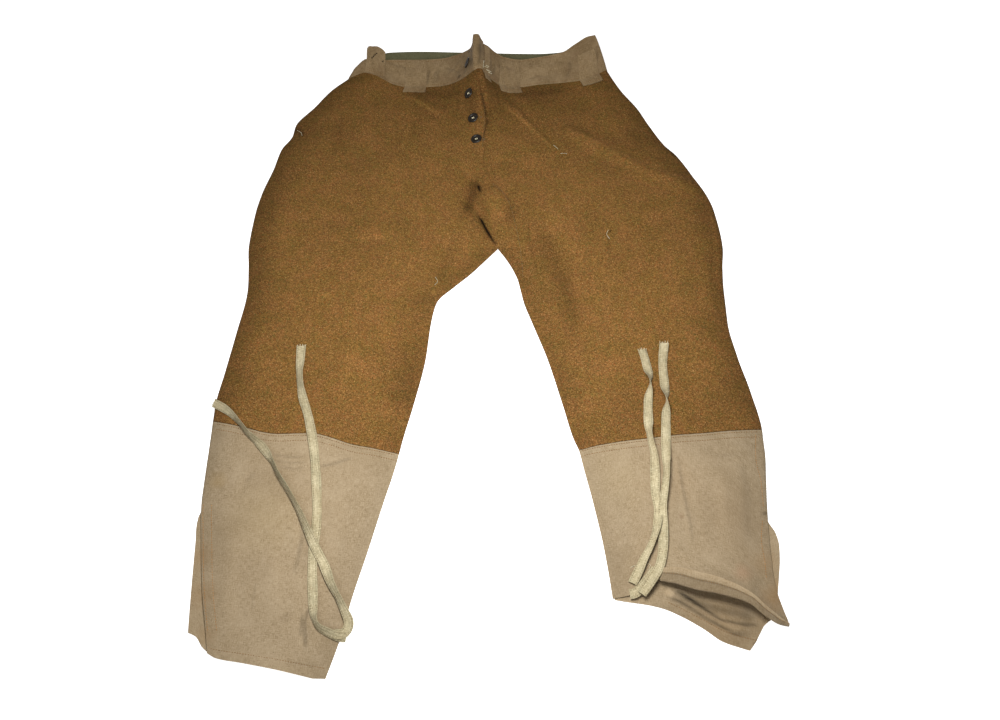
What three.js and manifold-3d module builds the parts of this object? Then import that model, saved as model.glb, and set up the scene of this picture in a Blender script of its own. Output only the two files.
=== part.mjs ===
// Military breeches laid flat on a surface, front up.
// Millimetres, +Z up. +Y runs from the hems to the waist, -X is the wearer's right side.
// Every woollen and cotton piece is a thin closed wall along one laid-out form:
// the back lies flat, the front is crowned over it and rolls down round its edges.

import * as THREE from 'three';
import { mergeVertices } from 'three/addons/utils/BufferGeometryUtils.js';
import Module from 'manifold-3d';

const wasm = await Module();
wasm.setup();

// ---------------------------------------------------------------- driving sizes

const WOOL = 2.0;               // thickness of the woollen cloth
const COTTON = 1.2;             // thickness of the cotton calf pieces
const BAND = 2.4;               // waistband, two layers of cotton and its stiffening
const FACING = 0.8;             // single layer of facing cloth
const LOOP = 1.6;               // belt loop, a folded strip
const TAPE_WIDTH = 12.5;
const TAPE = 1.2;
const GAP = 0.3;                // clearance between pieces that touch
const SEAM = 0.2;               // half of the clearance along a curved seam
const BAND_SEAM = 1.2;          // clearance where the band turns up from the cloth
const CROTCH_Y = 660;           // fork of the legs
const LEG_BLEND = 45;           // length over which the body parts into two legs
const ROLL_RADIUS = 5;          // radius of the fold along a side
const RIM_HEIGHT = 0.5;         // lowest point of a folded side
const CROWN_POWER = 0.6;        // how soon the front reaches its full rounding
const BACK_INSET = WOOL + GAP + 3.4;   // the back's edge, inside the rolled front
const FLY_BOTTOM = 842;         // lower end of the buttoned opening
const FLY_FADE = 28;
const FLY_LAP = 20;             // overlap of the two fronts under the buttons
const FLY_RAISED = 36;          // width of the upper front that is raised over the lap
const FLY_RAISED_FADE = 26;
const FLY_EDGE = 3;             // how far the upper front reaches past the centre line
const BUTTON_DIAMETER = 17;
const LOOP_WIDTH = 34;
const LOOP_DROP = 12;           // how far a loop reaches below the band
const HEM_TURN = 11;            // width of the hem that is turned up on the left leg

const COLOURS = {
  wool: 0x76542a, cotton: 0xa58e70, band: 0x9a8265, facing: 0x6e694b,
  fray: 0xc9bd9c, tape: 0xb0a688, button: 0x15130f,
};

// ---------------------------------------------------------------- outline tables

// Outer edge of each leg, seen from above.
const RIGHT_OUTER = [
  { y: 1000, x: -235 },
  { y: 991, x: -243 },
  { y: 967, x: -270 },
  { y: 933, x: -295 },
  { y: 896, x: -322 },
  { y: 876, x: -325 },
  { y: 848, x: -340 },
  { y: 811, x: -348 },
  { y: 764, x: -361 },
  { y: 726, x: -367 },
  { y: 669, x: -370 },
  { y: 630, x: -366 },
  { y: 590, x: -363 },
  { y: 520, x: -371 },
  { y: 460, x: -379 },
  { y: 405, x: -386 },
  { y: 370, x: -386 },
  { y: 300, x: -386 },
  { y: 255, x: -386 },
  { y: 212, x: -385 },
  { y: 99, x: -380 },
  { y: 45, x: -376 },
];
const LEFT_OUTER = [
  { y: 1000, x: 169 },
  { y: 991, x: 174 },
  { y: 960, x: 193 },
  { y: 927, x: 218 },
  { y: 896, x: 234 },
  { y: 857, x: 256 },
  { y: 837, x: 273 },
  { y: 793, x: 297 },
  { y: 735, x: 321 },
  { y: 667, x: 328 },
  { y: 630, x: 324 },
  { y: 590, x: 322 },
  { y: 540, x: 322 },
  { y: 484, x: 330 },
  { y: 430, x: 342 },
  { y: 370, x: 351 },
  { y: 341, x: 351 },
  { y: 305, x: 348 },
  { y: 252, x: 344 },
  { y: 145, x: 343 },
  { y: 80, x: 345 },
];

// Centre line of the front, from the waist to the fork.
const CENTRE_LINE = [
  { y: 1000, x: -36 },
  { y: 965, x: -33 },
  { y: 930, x: -24 },
  { y: 896, x: -20 },
  { y: 855, x: -22 },
  { y: 800, x: -26 },
  { y: 764, x: -22 },
  { y: 726, x: -15 },
  { y: 660, x: -3 },
];

// Inner edge of both legs, from the fork to the hems.
const INSIDE_LEG = [
  { y: 660, right: -3, left: -3 },
  { y: 630, right: -32, left: 17 },
  { y: 612, right: -51, left: 25 },
  { y: 600, right: -64, left: 28 },
  { y: 572, right: -90, left: 34 },
  { y: 540, right: -97, left: 45 },
  { y: 480, right: -103, left: 66 },
  { y: 410, right: -117, left: 85 },
  { y: 360, right: -129, left: 98 },
  { y: 345, right: -132, left: 104 },
  { y: 313, right: -139, left: 111 },
  { y: 272, right: -150, left: 120 },
  { y: 205, right: -167, left: 132 },
  { y: 145, right: -183, left: 139 },
  { y: 99, right: -193, left: 142 },
  { y: 45, right: -209, left: 144 },
];

// Height of the rounded front over the back along the body.
const CROWN = [
  { y: 1000, height: 12 },
  { y: 900, height: 12 },
  { y: 800, height: 11 },
  { y: 720, height: 8.5 },
  { y: 660, height: 6 },
  { y: 600, height: 3.7 },
  { y: 450, height: 3 },
  { y: 360, height: 2.4 },
  { y: 200, height: 2.2 },
  { y: 60, height: 1.8 },
];

// The fly stands up as a ridge over the centre line.
const FLY_RIDGE = [
  { y: 1000, height: 48 },
  { y: 965, height: 43 },
  { y: 946, height: 36 },
  { y: 926, height: 26 },
  { y: 901, height: 16 },
  { y: 855, height: 5.5 },
  { y: 810, height: 1.5 },
  { y: 760, height: 0 },
];
const FLY_RIDGE_RIGHT = 28.5;   // how far the ridge spreads to either side
const FLY_RIDGE_LEFT = 23;
const FLY_RIDGE_POWER = 1.4;

// Both upper corners of the body lift off the surface.
const CORNER_LIFT = [
  { y: 1005, right: 8, left: 23 },
  { y: 991, right: 6, left: 18 },
  { y: 967, right: 3.4, left: 12 },
  { y: 930, right: 1.3, left: 5.5 },
  { y: 896, right: 0.2, left: 2.5 },
  { y: 850, right: 0, left: 0.8 },
  { y: 800, right: 0, left: 0 },
];
const CORNER_REACH = 34;
const CORNER_POWER = 1.3;

// Seam between the woollen front and its waistband.
const WAIST_SEAM = [
  { x: -246, y: 989 },
  { x: -232, y: 999 },
  { x: -214, y: 996 },
  { x: -184, y: 984 },
  { x: -160, y: 973 },
  { x: -136, y: 966 },
  { x: -85, y: 964 },
  { x: -34, y: 963 },
  { x: -3, y: 961 },
  { x: 30, y: 965 },
  { x: 56, y: 971 },
  { x: 96, y: 976 },
  { x: 128, y: 981 },
  { x: 155, y: 988 },
  { x: 175, y: 994 },
];

// Top edge of the front waistband over each place of the seam.
const FRONT_TOP = [
  { x: -243, lean: 13, y: 1008, z: 17 },
  { x: -225, lean: 8, y: 1016, z: 24 },
  { x: -205, lean: 3, y: 1012, z: 29 },
  { x: -184, lean: 0, y: 1009, z: 30 },
  { x: -120, lean: 0, y: 1011, z: 28 },
  { x: -85, lean: 0, y: 1012, z: 30 },
  { x: -64, lean: 0, y: 1012, z: 38 },
  { x: -48, lean: 0, y: 1010, z: 55 },
  { x: -35, lean: -2, y: 1009, z: 75 },
  { x: -23, lean: 0, y: 1009, z: 64 },
  { x: -12, lean: 0, y: 1010, z: 49 },
  { x: 6, lean: 0, y: 1011, z: 34 },
  { x: 32, lean: 0, y: 1011, z: 28 },
  { x: 64, lean: 0, y: 1015, z: 30 },
  { x: 100, lean: -1, y: 1020, z: 35 },
  { x: 126, lean: -5, y: 1029, z: 45 },
  { x: 150, lean: -9, y: 1037, z: 53 },
  { x: 172, lean: -20, y: 1039, z: 54 },
];

// Seam of the back waistband, and its top edge.
const BACK_SEAM = [
  { x: -240, y: 987 },
  { x: -205, y: 1001 },
  { x: -180, y: 1004 },
  { x: 60, y: 1004 },
  { x: 110, y: 1003 },
  { x: 150, y: 998 },
  { x: 168, y: 993 },
];
const BACK_TOP = [
  { x: -240, lean: 15, y: 1013, z: 14 },
  { x: -222, lean: 10, y: 1028, z: 12 },
  { x: -200, lean: 4, y: 1044, z: 4 },
  { x: -180, lean: 0, y: 1051, z: BAND / 2 },
  { x: -132, lean: 0, y: 1053, z: BAND / 2 },
  { x: -60, lean: 0, y: 1051, z: BAND / 2 },
  { x: 60, lean: 0, y: 1048, z: BAND / 2 },
  { x: 95, lean: 1, y: 1048, z: 4 },
  { x: 125, lean: 0, y: 1047, z: 20 },
  { x: 150, lean: -7, y: 1044, z: 42 },
  { x: 168, lean: -18, y: 1043, z: 49 },
];

// Seam below the knee of each leg.
const RIGHT_KNEE = [
  { x: -386, y: 385 },
  { x: -361, y: 380 },
  { x: -336, y: 374 },
  { x: -314, y: 368 },
  { x: -295, y: 366 },
  { x: -252, y: 367 },
  { x: -237, y: 364 },
  { x: -215, y: 357 },
  { x: -193, y: 350 },
  { x: -165, y: 345 },
  { x: -132, y: 338 },
];
const LEFT_KNEE = [
  { x: 104, y: 344 },
  { x: 124, y: 349 },
  { x: 160, y: 355 },
  { x: 194, y: 359 },
  { x: 234, y: 364 },
  { x: 273, y: 367 },
  { x: 313, y: 371 },
  { x: 351, y: 373 },
];

// The same seam across the backs.
const RIGHT_KNEE_BACK = [
  { x: -386, y: 385 },
  { x: -260, y: 363 },
  { x: -132, y: 340 },
];
const LEFT_KNEE_BACK = [
  { x: 104, y: 344 },
  { x: 230, y: 363 },
  { x: 351, y: 373 },
];

const RIGHT_KNEES = { front: RIGHT_KNEE, back: RIGHT_KNEE_BACK };
const LEFT_KNEES = { front: LEFT_KNEE, back: LEFT_KNEE_BACK };

// Hems. The left front's hem is raised, so the end of that leg stands open.
const RIGHT_HEM = [
  { x: -386, front: 88, back: 106 },
  { x: -370, front: 86, back: 99 },
  { x: -361, front: 80, back: 86 },
  { x: -349, front: 73, back: 78 },
  { x: -312, front: 67, back: 72 },
  { x: -274, front: 61, back: 68 },
  { x: -207, front: 49, back: 57 },
];
const LEFT_HEM = [
  { x: 138, front: 145, back: 145, lift: 0 },
  { x: 160, front: 148, back: 141, lift: 1 },
  { x: 180, front: 157, back: 138, lift: 3 },
  { x: 200, front: 167, back: 133, lift: 8 },
  { x: 220, front: 163, back: 124, lift: 12 },
  { x: 246, front: 154, back: 110, lift: 15 },
  { x: 277, front: 147, back: 91, lift: 17 },
  { x: 306, front: 137, back: 83, lift: 17 },
  { x: 322, front: 122, back: 102, lift: 15 },
  { x: 339, front: 112, back: 122, lift: 12 },
  { x: 350, front: 110, back: 135, lift: 11 },
];
const HEM_LIFT_REACH = 70;      // how far up the leg the raised hem is felt

// Slit at the outer side of each calf: how far the front edge draws in, and
// the back edge, from the outline of the leg. The back shows below its top.
const SLIT_FADE = 26;
const RIGHT_SLIT_TOP = 277;
const RIGHT_SLIT = [
  { y: 277, front: 0, back: 4.2 },
  { y: 262, front: 1, back: 4.2 },
  { y: 251, front: 2, back: -1 },
  { y: 238, front: 4, back: -2 },
  { y: 220, front: 6, back: -1 },
  { y: 155, front: 14, back: 0 },
  { y: 93, front: 24, back: 1 },
  { y: 60, front: 28, back: 4 },
];
const LEFT_SLIT_TOP = 262;
const LEFT_SLIT = [
  { y: 262, front: 0, back: 4.2 },
  { y: 250, front: 0.5, back: 4.2 },
  { y: 240, front: 1, back: -2 },
  { y: 231, front: 1.5, back: -7 },
  { y: 215, front: 2, back: -10 },
  { y: 198, front: 2, back: -9 },
  { y: 173, front: 2, back: -5 },
  { y: 152, front: 0, back: -1 },
  { y: 128, front: -4, back: 2 },
  { y: 112, front: -6, back: 8 },
  { y: 80, front: -6, back: 28 },
];

// Largest folds of the front: ridges are positive, troughs negative.
const FOLDS = [
  { path: [[88, 884], [117, 870], [229, 800], [289, 777], [316, 742]], width: 11, height: 5 },
  { path: [[-2, 955], [32, 926], [64, 874], [93, 833]], width: 7, height: -1.6 },
  { path: [[-148, 948], [-108, 922], [-71, 897]], width: 9, height: 2.4 },
  { path: [[-141, 912], [-150, 850]], width: 9, height: -2 },
  { path: [[-43, 800], [-52, 722]], width: 10, height: -4 },
  { path: [[-30, 775], [-6, 664]], width: 7, height: -3 },
  { path: [[48, 705], [72, 640], [92, 600]], width: 13, height: -3.2 },
  { path: [[20, 700], [60, 610], [78, 540]], width: 12, height: 2 },
  { path: [[-260, 690], [-160, 694]], width: 16, height: 2.6 },
  { path: [[-270, 575], [-225, 590]], width: 10, height: 1.8 },
  { path: [[-120, 560], [-90, 572]], width: 8, height: 2 },
  { path: [[-330, 640], [-345, 500]], width: 14, height: 1.6 },
  { path: [[210, 356], [226, 250]], width: 9, height: 1.6 },
  { path: [[-290, 250], [-278, 110]], width: 12, height: 1.2 },
];

// Gusset let into the left front beside the centre line.
const GUSSET_SEAM = [
  { y: 783, x: -24 },
  { y: 757, x: 2 },
  { y: 732, x: 13 },
  { y: 700, x: 20 },
  { y: 660, x: 26.5 },
  { y: 629, x: 29.5 },
  { y: 606, x: 30.5 },
];
const GUSSET_TOP = 783;
const GUSSET_BOTTOM = 606;
const GUSSET_CLEAR = 0.9;       // clearance to the curved edge of the left front
const GUSSET_LOW = 0.43;        // shares of the left front's height that it lies beside
const GUSSET_HIGH = 0.69;

const BUTTONS = [
  { name: 'button_1', beside: 17, up: 20 },
  { name: 'button_2', beside: 22, y: 931 },
  { name: 'button_3', beside: 20, y: 889 },
  { name: 'button_4', beside: 14, y: 856 },
];

const LOOPS = [
  { name: 'belt_loop_1', x: -199, width: 28, low: 3, high: 52 },
  { name: 'belt_loop_2', x: -134, width: LOOP_WIDTH, low: -LOOP_DROP, high: 44 },
  { name: 'belt_loop_3', x: 14, width: LOOP_WIDTH, low: -LOOP_DROP, high: 44 },
  { name: 'belt_loop_4', x: 143, width: 31, low: -LOOP_DROP, high: 40 },
];

// Tapes, from where they are sewn on to their free ends; level is the layer
// that the tape has where it crosses its neighbour.
const TAPES = [
  { name: 'tie_right_a', level: 0, route: [
    [-184, 98], [-196, 99], [-211, 104], [-224, 117], [-231, 150], [-234, 180],
    [-235, 210], [-234, 250], [-239, 300], [-247, 350], [-257, 390], [-268, 422],
    [-274, 455], [-276, 497]] },
  { name: 'tie_right_b', level: 1, route: [
    [-185, 112], [-190, 126], [-199, 143], [-209, 163], [-220, 187], [-232, 208],
    [-245, 233], [-257, 257], [-271, 280], [-287, 304], [-301, 329], [-315, 347],
    [-334, 364], [-346, 378], [-364, 396], [-383, 408]] },
  { name: 'tie_left_a', level: 0, route: [
    [164, 163], [172, 178], [180, 194], [189, 210], [198, 232], [203, 258],
    [201, 282], [202, 310], [202, 334], [199, 354], [198, 372], [200, 412],
    [203, 431], [204, 449], [201, 471], [197, 491]] },
  { name: 'tie_left_b', level: 1, route: [
    [174, 149], [187, 166], [198, 183], [204, 203], [207, 232], [208, 261],
    [212, 284], [216, 307], [218, 334], [220, 358], [222, 385], [224, 412],
    [224, 440], [224, 470], [228, 501]] },
];
const TAPE_STEPS = 26;
const TAPE_CLEAR = 0.5;         // height of a tape over the cloth beneath it

// ---------------------------------------------------------------- small mathematics

const mix = (a, b, t) => a + (b - a) * t;
const clamp = (v, lo, hi) => Math.min(hi, Math.max(lo, v));

function smooth(edge0, edge1, v) {
  const t = clamp((v - edge0) / (edge1 - edge0), 0, 1);
  return t * t * (3 - 2 * t);
}

// Slopes of a curve through rows, limited so that it never overshoots them.
function tableSlopes(xs, ys) {
  const steps = xs.slice(1).map((x, i) => (ys[i + 1] - ys[i]) / (x - xs[i]));
  return xs.map((x, i) => {
    if (i === 0) return steps[0];
    if (i === xs.length - 1) return steps[i - 1];
    const before = steps[i - 1];
    const after = steps[i];
    return before * after <= 0 ? 0 : (2 * before * after) / (before + after);
  });
}

// A smooth function through one column of a table.
function column(rows, key, value) {
  const sorted = [...rows].sort((a, b) => a[key] - b[key]);
  const xs = sorted.map((row) => row[key]);
  const ys = sorted.map((row) => row[value]);
  const slopes = tableSlopes(xs, ys);
  return (at) => {
    const x = clamp(at, xs[0], xs[xs.length - 1]);
    let i = 0;
    while (i < xs.length - 2 && x > xs[i + 1]) i += 1;
    const h = xs[i + 1] - xs[i];
    const t = (x - xs[i]) / h;
    const rise = ys[i + 1] - ys[i];
    const a = slopes[i] * h - rise;
    const b = rise - slopes[i + 1] * h;
    return ys[i] + t * rise + t * (1 - t) * (a * (1 - t) + b * t);
  };
}

function distanceToPath(path, x, y) {
  let nearest = Infinity;
  let along = 0;
  for (let i = 0; i + 1 < path.length; i += 1) {
    const [ax, ay] = path[i];
    const [bx, by] = path[i + 1];
    const length = (bx - ax) ** 2 + (by - ay) ** 2;
    const t = clamp(((x - ax) * (bx - ax) + (y - ay) * (by - ay)) / length, 0, 1);
    const d = Math.hypot(x - mix(ax, bx, t), y - mix(ay, by, t));
    if (d < nearest) {
      nearest = d;
      along = (i + t) / (path.length - 1);
    }
  }
  return [nearest, along];
}

// ---------------------------------------------------------------- the laid-out form

const crown = column(CROWN, 'y', 'height');
const flyRidge = column(FLY_RIDGE, 'y', 'height');
const waistSeam = column(WAIST_SEAM, 'x', 'y');
const backSeam = column(BACK_SEAM, 'x', 'y');
const gussetSeam = column(GUSSET_SEAM, 'y', 'x');

const centreLine = column(CENTRE_LINE, 'y', 'x');

// Horizontal stretch that keeps a distance square to a sloping edge.
const slantOf = (edge) => (y) => Math.hypot(1, (edge(y + 2) - edge(y - 2)) / 4);

function makeLeg(side, sign, edges, knees, hems, slit, slitTop) {
  const outer = column(edges, 'y', 'x');
  const inside = column(INSIDE_LEG, 'y', side);
  return {
    side,
    sign,                       // direction from the centre to the outer edge
    outer,
    inner: (y) => (y < CROTCH_Y ? inside(y) : centreLine(y)),
    slantOuter: slantOf(outer),
    slantInner: slantOf(inside),
    lift: column(CORNER_LIFT, 'y', side),
    knee: column(knees.front, 'x', 'y'),
    kneeBack: column(knees.back, 'x', 'y'),
    hemFront: column(hems, 'x', 'front'),
    hemBack: column(hems, 'x', 'back'),
    slitFront: column(slit, 'y', 'front'),
    slitBack: column(slit, 'y', 'back'),
    slitTop,
  };
}

const RIGHT = makeLeg('right', -1, RIGHT_OUTER, RIGHT_KNEES, RIGHT_HEM, RIGHT_SLIT, RIGHT_SLIT_TOP);
const LEFT = makeLeg('left', 1, LEFT_OUTER, LEFT_KNEES, LEFT_HEM, LEFT_SLIT, LEFT_SLIT_TOP);
const leftHemLift = column(LEFT_HEM, 'x', 'lift');

// How far the two legs are one body: for their sides, and for their rounding.
const joined = (y) => smooth(CROTCH_Y - LEG_BLEND, CROTCH_Y, y);
const bodyShare = (y) => smooth(CROTCH_Y - LEG_BLEND, CROTCH_Y + LEG_BLEND, y);

function foldHeight(x, y) {
  let sum = 0;
  for (const fold of FOLDS) {
    const [d, along] = distanceToPath(fold.path, x, y);
    const taper = smooth(0, 0.25, along) * smooth(1, 0.75, along);
    sum += fold.height * taper * Math.exp(-((d / fold.width) ** 2));
  }
  return sum;
}

function ridgeHeight(x, y) {
  const offset = x - centreLine(y);
  const spread = offset < 0 ? FLY_RIDGE_RIGHT : FLY_RIDGE_LEFT;
  return flyRidge(y) * Math.exp(-((Math.abs(offset) / spread) ** FLY_RIDGE_POWER));
}

function cornerLift(leg, x, y) {
  const inward = Math.max(0, (leg.outer(y) - x) * leg.sign);
  return leg.lift(y) * Math.exp(-((inward / CORNER_REACH) ** CORNER_POWER));
}

// The raised hem of the left leg.
function hemLift(leg, x, y) {
  if (leg !== LEFT) return 0;
  const reach = clamp((y - leg.hemFront(x)) / HEM_LIFT_REACH, 0, 1);
  return leftHemLift(x) * (1 - reach) ** 2;
}

// Share of its full height that the rolled side has at a distance from the edge.
function rollShare(distance) {
  const t = clamp(distance / ROLL_RADIUS, 0, 1);
  return Math.sqrt(1 - (1 - t) ** 2);
}

// Height of the middle of the front cloth over a place of the plan.
function frontHeight(leg, x, y, cloth) {
  const outer = leg.outer(y);
  const inner = leg.inner(y);
  const u = clamp((x - outer) / (inner - outer), 0, 1);
  const fromOuter = Math.abs(x - outer) / leg.slantOuter(y) - cloth / 2;
  const fromInner = Math.abs(inner - x) / leg.slantInner(y) - cloth / 2;
  const slitOpen = smooth(leg.slitTop, leg.slitTop - SLIT_FADE, y);
  const rollOuter = mix(rollShare(fromOuter), 1, slitOpen);
  const rollInner = mix(rollShare(fromInner), 1, joined(y));
  const rest = cloth * 1.5 + GAP;
  const round = Math.sin(Math.PI * u * (1 - bodyShare(y) / 2)) ** CROWN_POWER;
  const rise = crown(y) * round + ridgeHeight(x, y) + foldHeight(x, y);
  const lifted = cornerLift(leg, x, y) + hemLift(leg, x, y);
  return mix(RIM_HEIGHT, rest, rollOuter * rollInner) + Math.max(rise, 0) + lifted;
}

// The back lies flat, but for its left corner, which is lifted with the front.
const backHeight = (leg, x, y, cloth) => cloth / 2 + (leg === LEFT ? cornerLift(leg, x, y) : 0);

// ---------------------------------------------------------------- walls

// Unit normal of a surface given by point(a, b), by small steps inside its range.
function normalAt(point, a, b, sign) {
  const step = 1e-3;
  const a0 = Math.max(0, a - step);
  const a1 = Math.min(1, a + step);
  const b0 = Math.max(0, b - step);
  const b1 = Math.min(1, b + step);
  const along = point(a1, b).sub(point(a0, b));
  const across = point(a, b1).sub(point(a, b0));
  return along.cross(across).normalize().multiplyScalar(sign);
}

// The middle surface of a piece, as a grid of places with their normals.
function gridForm(point, columns, rows) {
  const sign = normalAt(point, 0.5, 0.5, 1).z < 0 ? -1 : 1;
  const points = rows.map((b) => columns.map((a) => point(a, b)));
  const normals = rows.map((b) => columns.map((a) => normalAt(point, a, b, sign)));
  return { columns, rows, sign, points, normals };
}

// A closed wall of even thickness along a form. The offset moves it out from
// the form, and may vary over it.
function wall(form, thickness, offset = () => 0) {
  const outside = [];
  const inside = [];
  form.points.forEach((row, j) => row.forEach((base, i) => {
    const out = offset(base);
    const normal = form.normals[j][i];
    outside.push(base.clone().addScaledVector(normal, out + thickness / 2));
    inside.push(base.clone().addScaledVector(normal, out - thickness / 2));
  }));
  return closedGrid(outside, inside, form.columns.length, form.rows.length, form.sign);
}

// Place on the flat cells of a form, moved out along its normal.
function onForm(form, a, b, out = 0) {
  const cell = (list, at) => {
    let i = 0;
    while (i < list.length - 2 && at > list[i + 1]) i += 1;
    return [i, (at - list[i]) / (list[i + 1] - list[i])];
  };
  const [i, s] = cell(form.columns, a);
  const [j, t] = cell(form.rows, b);
  const blend = (grid) => grid[j][i].clone().lerp(grid[j][i + 1], s)
    .lerp(grid[j + 1][i].clone().lerp(grid[j + 1][i + 1], s), t);
  return blend(form.points).addScaledVector(blend(form.normals).normalize(), out);
}

// Value of t from 0 to 1 where a rising or falling function meets a target.
function solve(value, target) {
  const rising = value(1) > value(0);
  let low = 0;
  let high = 1;
  for (let i = 0; i < 24; i += 1) {
    const middle = (low + high) / 2;
    if (value(middle) > target === rising) high = middle;
    else low = middle;
  }
  return (low + high) / 2;
}

// Grid place of a form under a place of the plan.
function locate(form, x, y) {
  let a = 0.5;
  let b = 0.5;
  for (let i = 0; i < 6; i += 1) {
    const across = a;
    b = solve((t) => onForm(form, across, t).y, y);
    const along = b;
    a = solve((t) => onForm(form, t, along).x, x);
  }
  return [a, b];
}

function closedGrid(outside, inside, width, height, sign) {
  const positions = [];
  for (const vertex of [...outside, ...inside]) positions.push(vertex.x, vertex.y, vertex.z);
  const shift = outside.length;
  const index = [];
  const quad = (a, b, c, d) => {
    if (sign > 0) index.push(a, b, c, a, c, d);
    else index.push(a, c, b, a, d, c);
  };
  for (let j = 0; j + 1 < height; j += 1) {
    for (let i = 0; i + 1 < width; i += 1) {
      const k = j * width + i;
      quad(k, k + 1, k + width + 1, k + width);
      quad(shift + k, shift + k + width, shift + k + width + 1, shift + k + 1);
    }
  }
  for (let i = 0; i + 1 < width; i += 1) {
    const top = (height - 1) * width + i;
    quad(i, shift + i, shift + i + 1, i + 1);
    quad(top, top + 1, shift + top + 1, shift + top);
  }
  for (let j = 0; j + 1 < height; j += 1) {
    const left = j * width;
    const right = left + width - 1;
    quad(left, left + width, shift + left + width, shift + left);
    quad(right, shift + right, shift + right + width, right + width);
  }
  return bufferGeometry(positions, index);
}

function bufferGeometry(positions, index) {
  const geometry = new THREE.BufferGeometry();
  geometry.setAttribute('position', new THREE.Float32BufferAttribute(positions, 3));
  geometry.setIndex(index);
  geometry.computeVertexNormals();
  return geometry;
}

const evenly = (count) => Array.from({ length: count }, (unused, i) => i / (count - 1));

// Columns of a front panel: closer together round the rolled sides and the fly.
const ROLL_SHARE = 0.12;
const FRONT_SPREAD = 1.7;
function frontColumns(interior) {
  const roll = [0, 1 / 3, 2 / 3, 1].map((t) => t * ROLL_SHARE);
  const between = evenly(interior + 2).slice(1, -1).map((t) => mix(ROLL_SHARE, 1 - ROLL_SHARE, t));
  return [...roll, ...between, ...roll.map((t) => 1 - t).reverse()];
}

// Place across a front panel, in the plan, for a column a from 0 to 1. The rims
// are the distances of the outermost columns from the two edges.
function acrossPlan(start, end, startRim, endRim, a) {
  const direction = Math.sign(end - start);
  const round = (t) => ROLL_RADIUS * (1 - Math.cos((Math.min(1, t) * Math.PI) / 2));
  const first = start + direction * (startRim + round(a / ROLL_SHARE));
  const last = end - direction * (endRim + round((1 - a) / ROLL_SHARE));
  if (a <= ROLL_SHARE) return first;
  if (a >= 1 - ROLL_SHARE) return last;
  const t = (a - ROLL_SHARE) / (1 - 2 * ROLL_SHARE);
  return mix(last, first, (1 - t) ** FRONT_SPREAD);
}

// ---------------------------------------------------------------- woollen fronts

const LAP_OFFSET = WOOL + GAP + 0.1;   // rise of the upper front over the lower
const flyOpen = (y) => smooth(FLY_BOTTOM, FLY_BOTTOM + FLY_FADE, y);
const flyRaised = (y) => smooth(FLY_BOTTOM - 2 * FLY_FADE, FLY_BOTTOM - FLY_FADE, y);

// How far the upper front is moved out over the lap, at a place of the plan.
function lapRaise({ x, y }) {
  const inward = centreLine(y) - x;
  return LAP_OFFSET * flyRaised(y) * smooth(FLY_RAISED + FLY_RAISED_FADE, FLY_RAISED, inward);
}

const FRONT_COLUMNS = frontColumns(12);
const WOOL_ROWS = evenly(25).map((t) => 1 - (1 - t) ** 1.5);
const CALF_ROWS = evenly(14);
const WAIST_Y = 985;            // places along the garment where the columns are
const KNEE_Y = 357;             // measured against the waist seam, the knee seam and the hem
const HEM_Y = 112;

// Edge of each front towards the middle, half a seam back from the line itself.
function frontInner(leg, y) {
  const seam = leg.inner(y) + leg.sign * (y < CROTCH_Y ? 0 : SEAM);
  if (leg === RIGHT) return seam + FLY_EDGE * flyOpen(y);
  const beside = y > GUSSET_BOTTOM && y < GUSSET_TOP;
  return beside ? Math.max(seam, gussetSeam(y) + SEAM) : seam - FLY_LAP * flyOpen(y);
}

// Place across a front panel, with its side edge drawn in by a distance.
function frontPlan(leg, a, y, cloth, drawnIn = 0) {
  const startRim = (cloth / 2) * leg.slantOuter(y) + drawnIn;
  const endRim = (cloth / 2) * leg.slantInner(y) * (1 - joined(y));
  return acrossPlan(leg.outer(y), frontInner(leg, y), startRim, endRim, a);
}

const kneeAt = (leg, a) => leg.knee(frontPlan(leg, a, KNEE_Y, WOOL));

function woolFrontPoint(leg, a, b) {
  const top = waistSeam(frontPlan(leg, a, WAIST_Y, WOOL)) - BAND_SEAM / 2;
  const y = mix(kneeAt(leg, a) + SEAM, top, b);
  const x = frontPlan(leg, a, y, WOOL);
  return new THREE.Vector3(x, y, frontHeight(leg, x, y, WOOL));
}

function calfFrontPoint(leg, a, b) {
  const hemX = frontPlan(leg, a, HEM_Y, COTTON, leg.slitFront(HEM_Y));
  const y = mix(leg.hemFront(hemX), kneeAt(leg, a) - SEAM, b);
  const x = frontPlan(leg, a, y, COTTON, leg.slitFront(y));
  return new THREE.Vector3(x, y, frontHeight(leg, x, y, COTTON));
}

const woolForm = (leg) => gridForm((a, b) => woolFrontPoint(leg, a, b), FRONT_COLUMNS, WOOL_ROWS);
const calfForm = (leg) => gridForm((a, b) => calfFrontPoint(leg, a, b), FRONT_COLUMNS, CALF_ROWS);
for (const leg of [RIGHT, LEFT]) {
  leg.wool = woolForm(leg);
  leg.calf = calfForm(leg);
}

const woolFront = (leg) => wall(leg.wool, WOOL, (place) => (leg === RIGHT ? lapRaise(place) : 0));

// The gusset's rows end on the rows of the left front, so the seam stays even.
function crotchGusset() {
  const point = (a, b) => {
    const edge = onForm(LEFT.wool, 1, mix(GUSSET_LOW, GUSSET_HIGH, b));
    const rim = (WOOL / 2) * LEFT.slantInner(edge.y) * (1 - joined(edge.y));
    const start = LEFT.inner(edge.y) + rim + SEAM;
    const x = mix(start, Math.max(edge.x - GUSSET_CLEAR, start + 0.6), a);
    return new THREE.Vector3(x, edge.y, frontHeight(LEFT, x, edge.y, WOOL));
  };
  const between = WOOL_ROWS.filter((b) => b > GUSSET_LOW + 0.005 && b < GUSSET_HIGH - 0.005);
  const rows = between.map((b) => (b - GUSSET_LOW) / (GUSSET_HIGH - GUSSET_LOW));
  return wall(gridForm(point, evenly(5), [0, ...rows, 1]), WOOL);
}

// ---------------------------------------------------------------- backs

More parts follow.
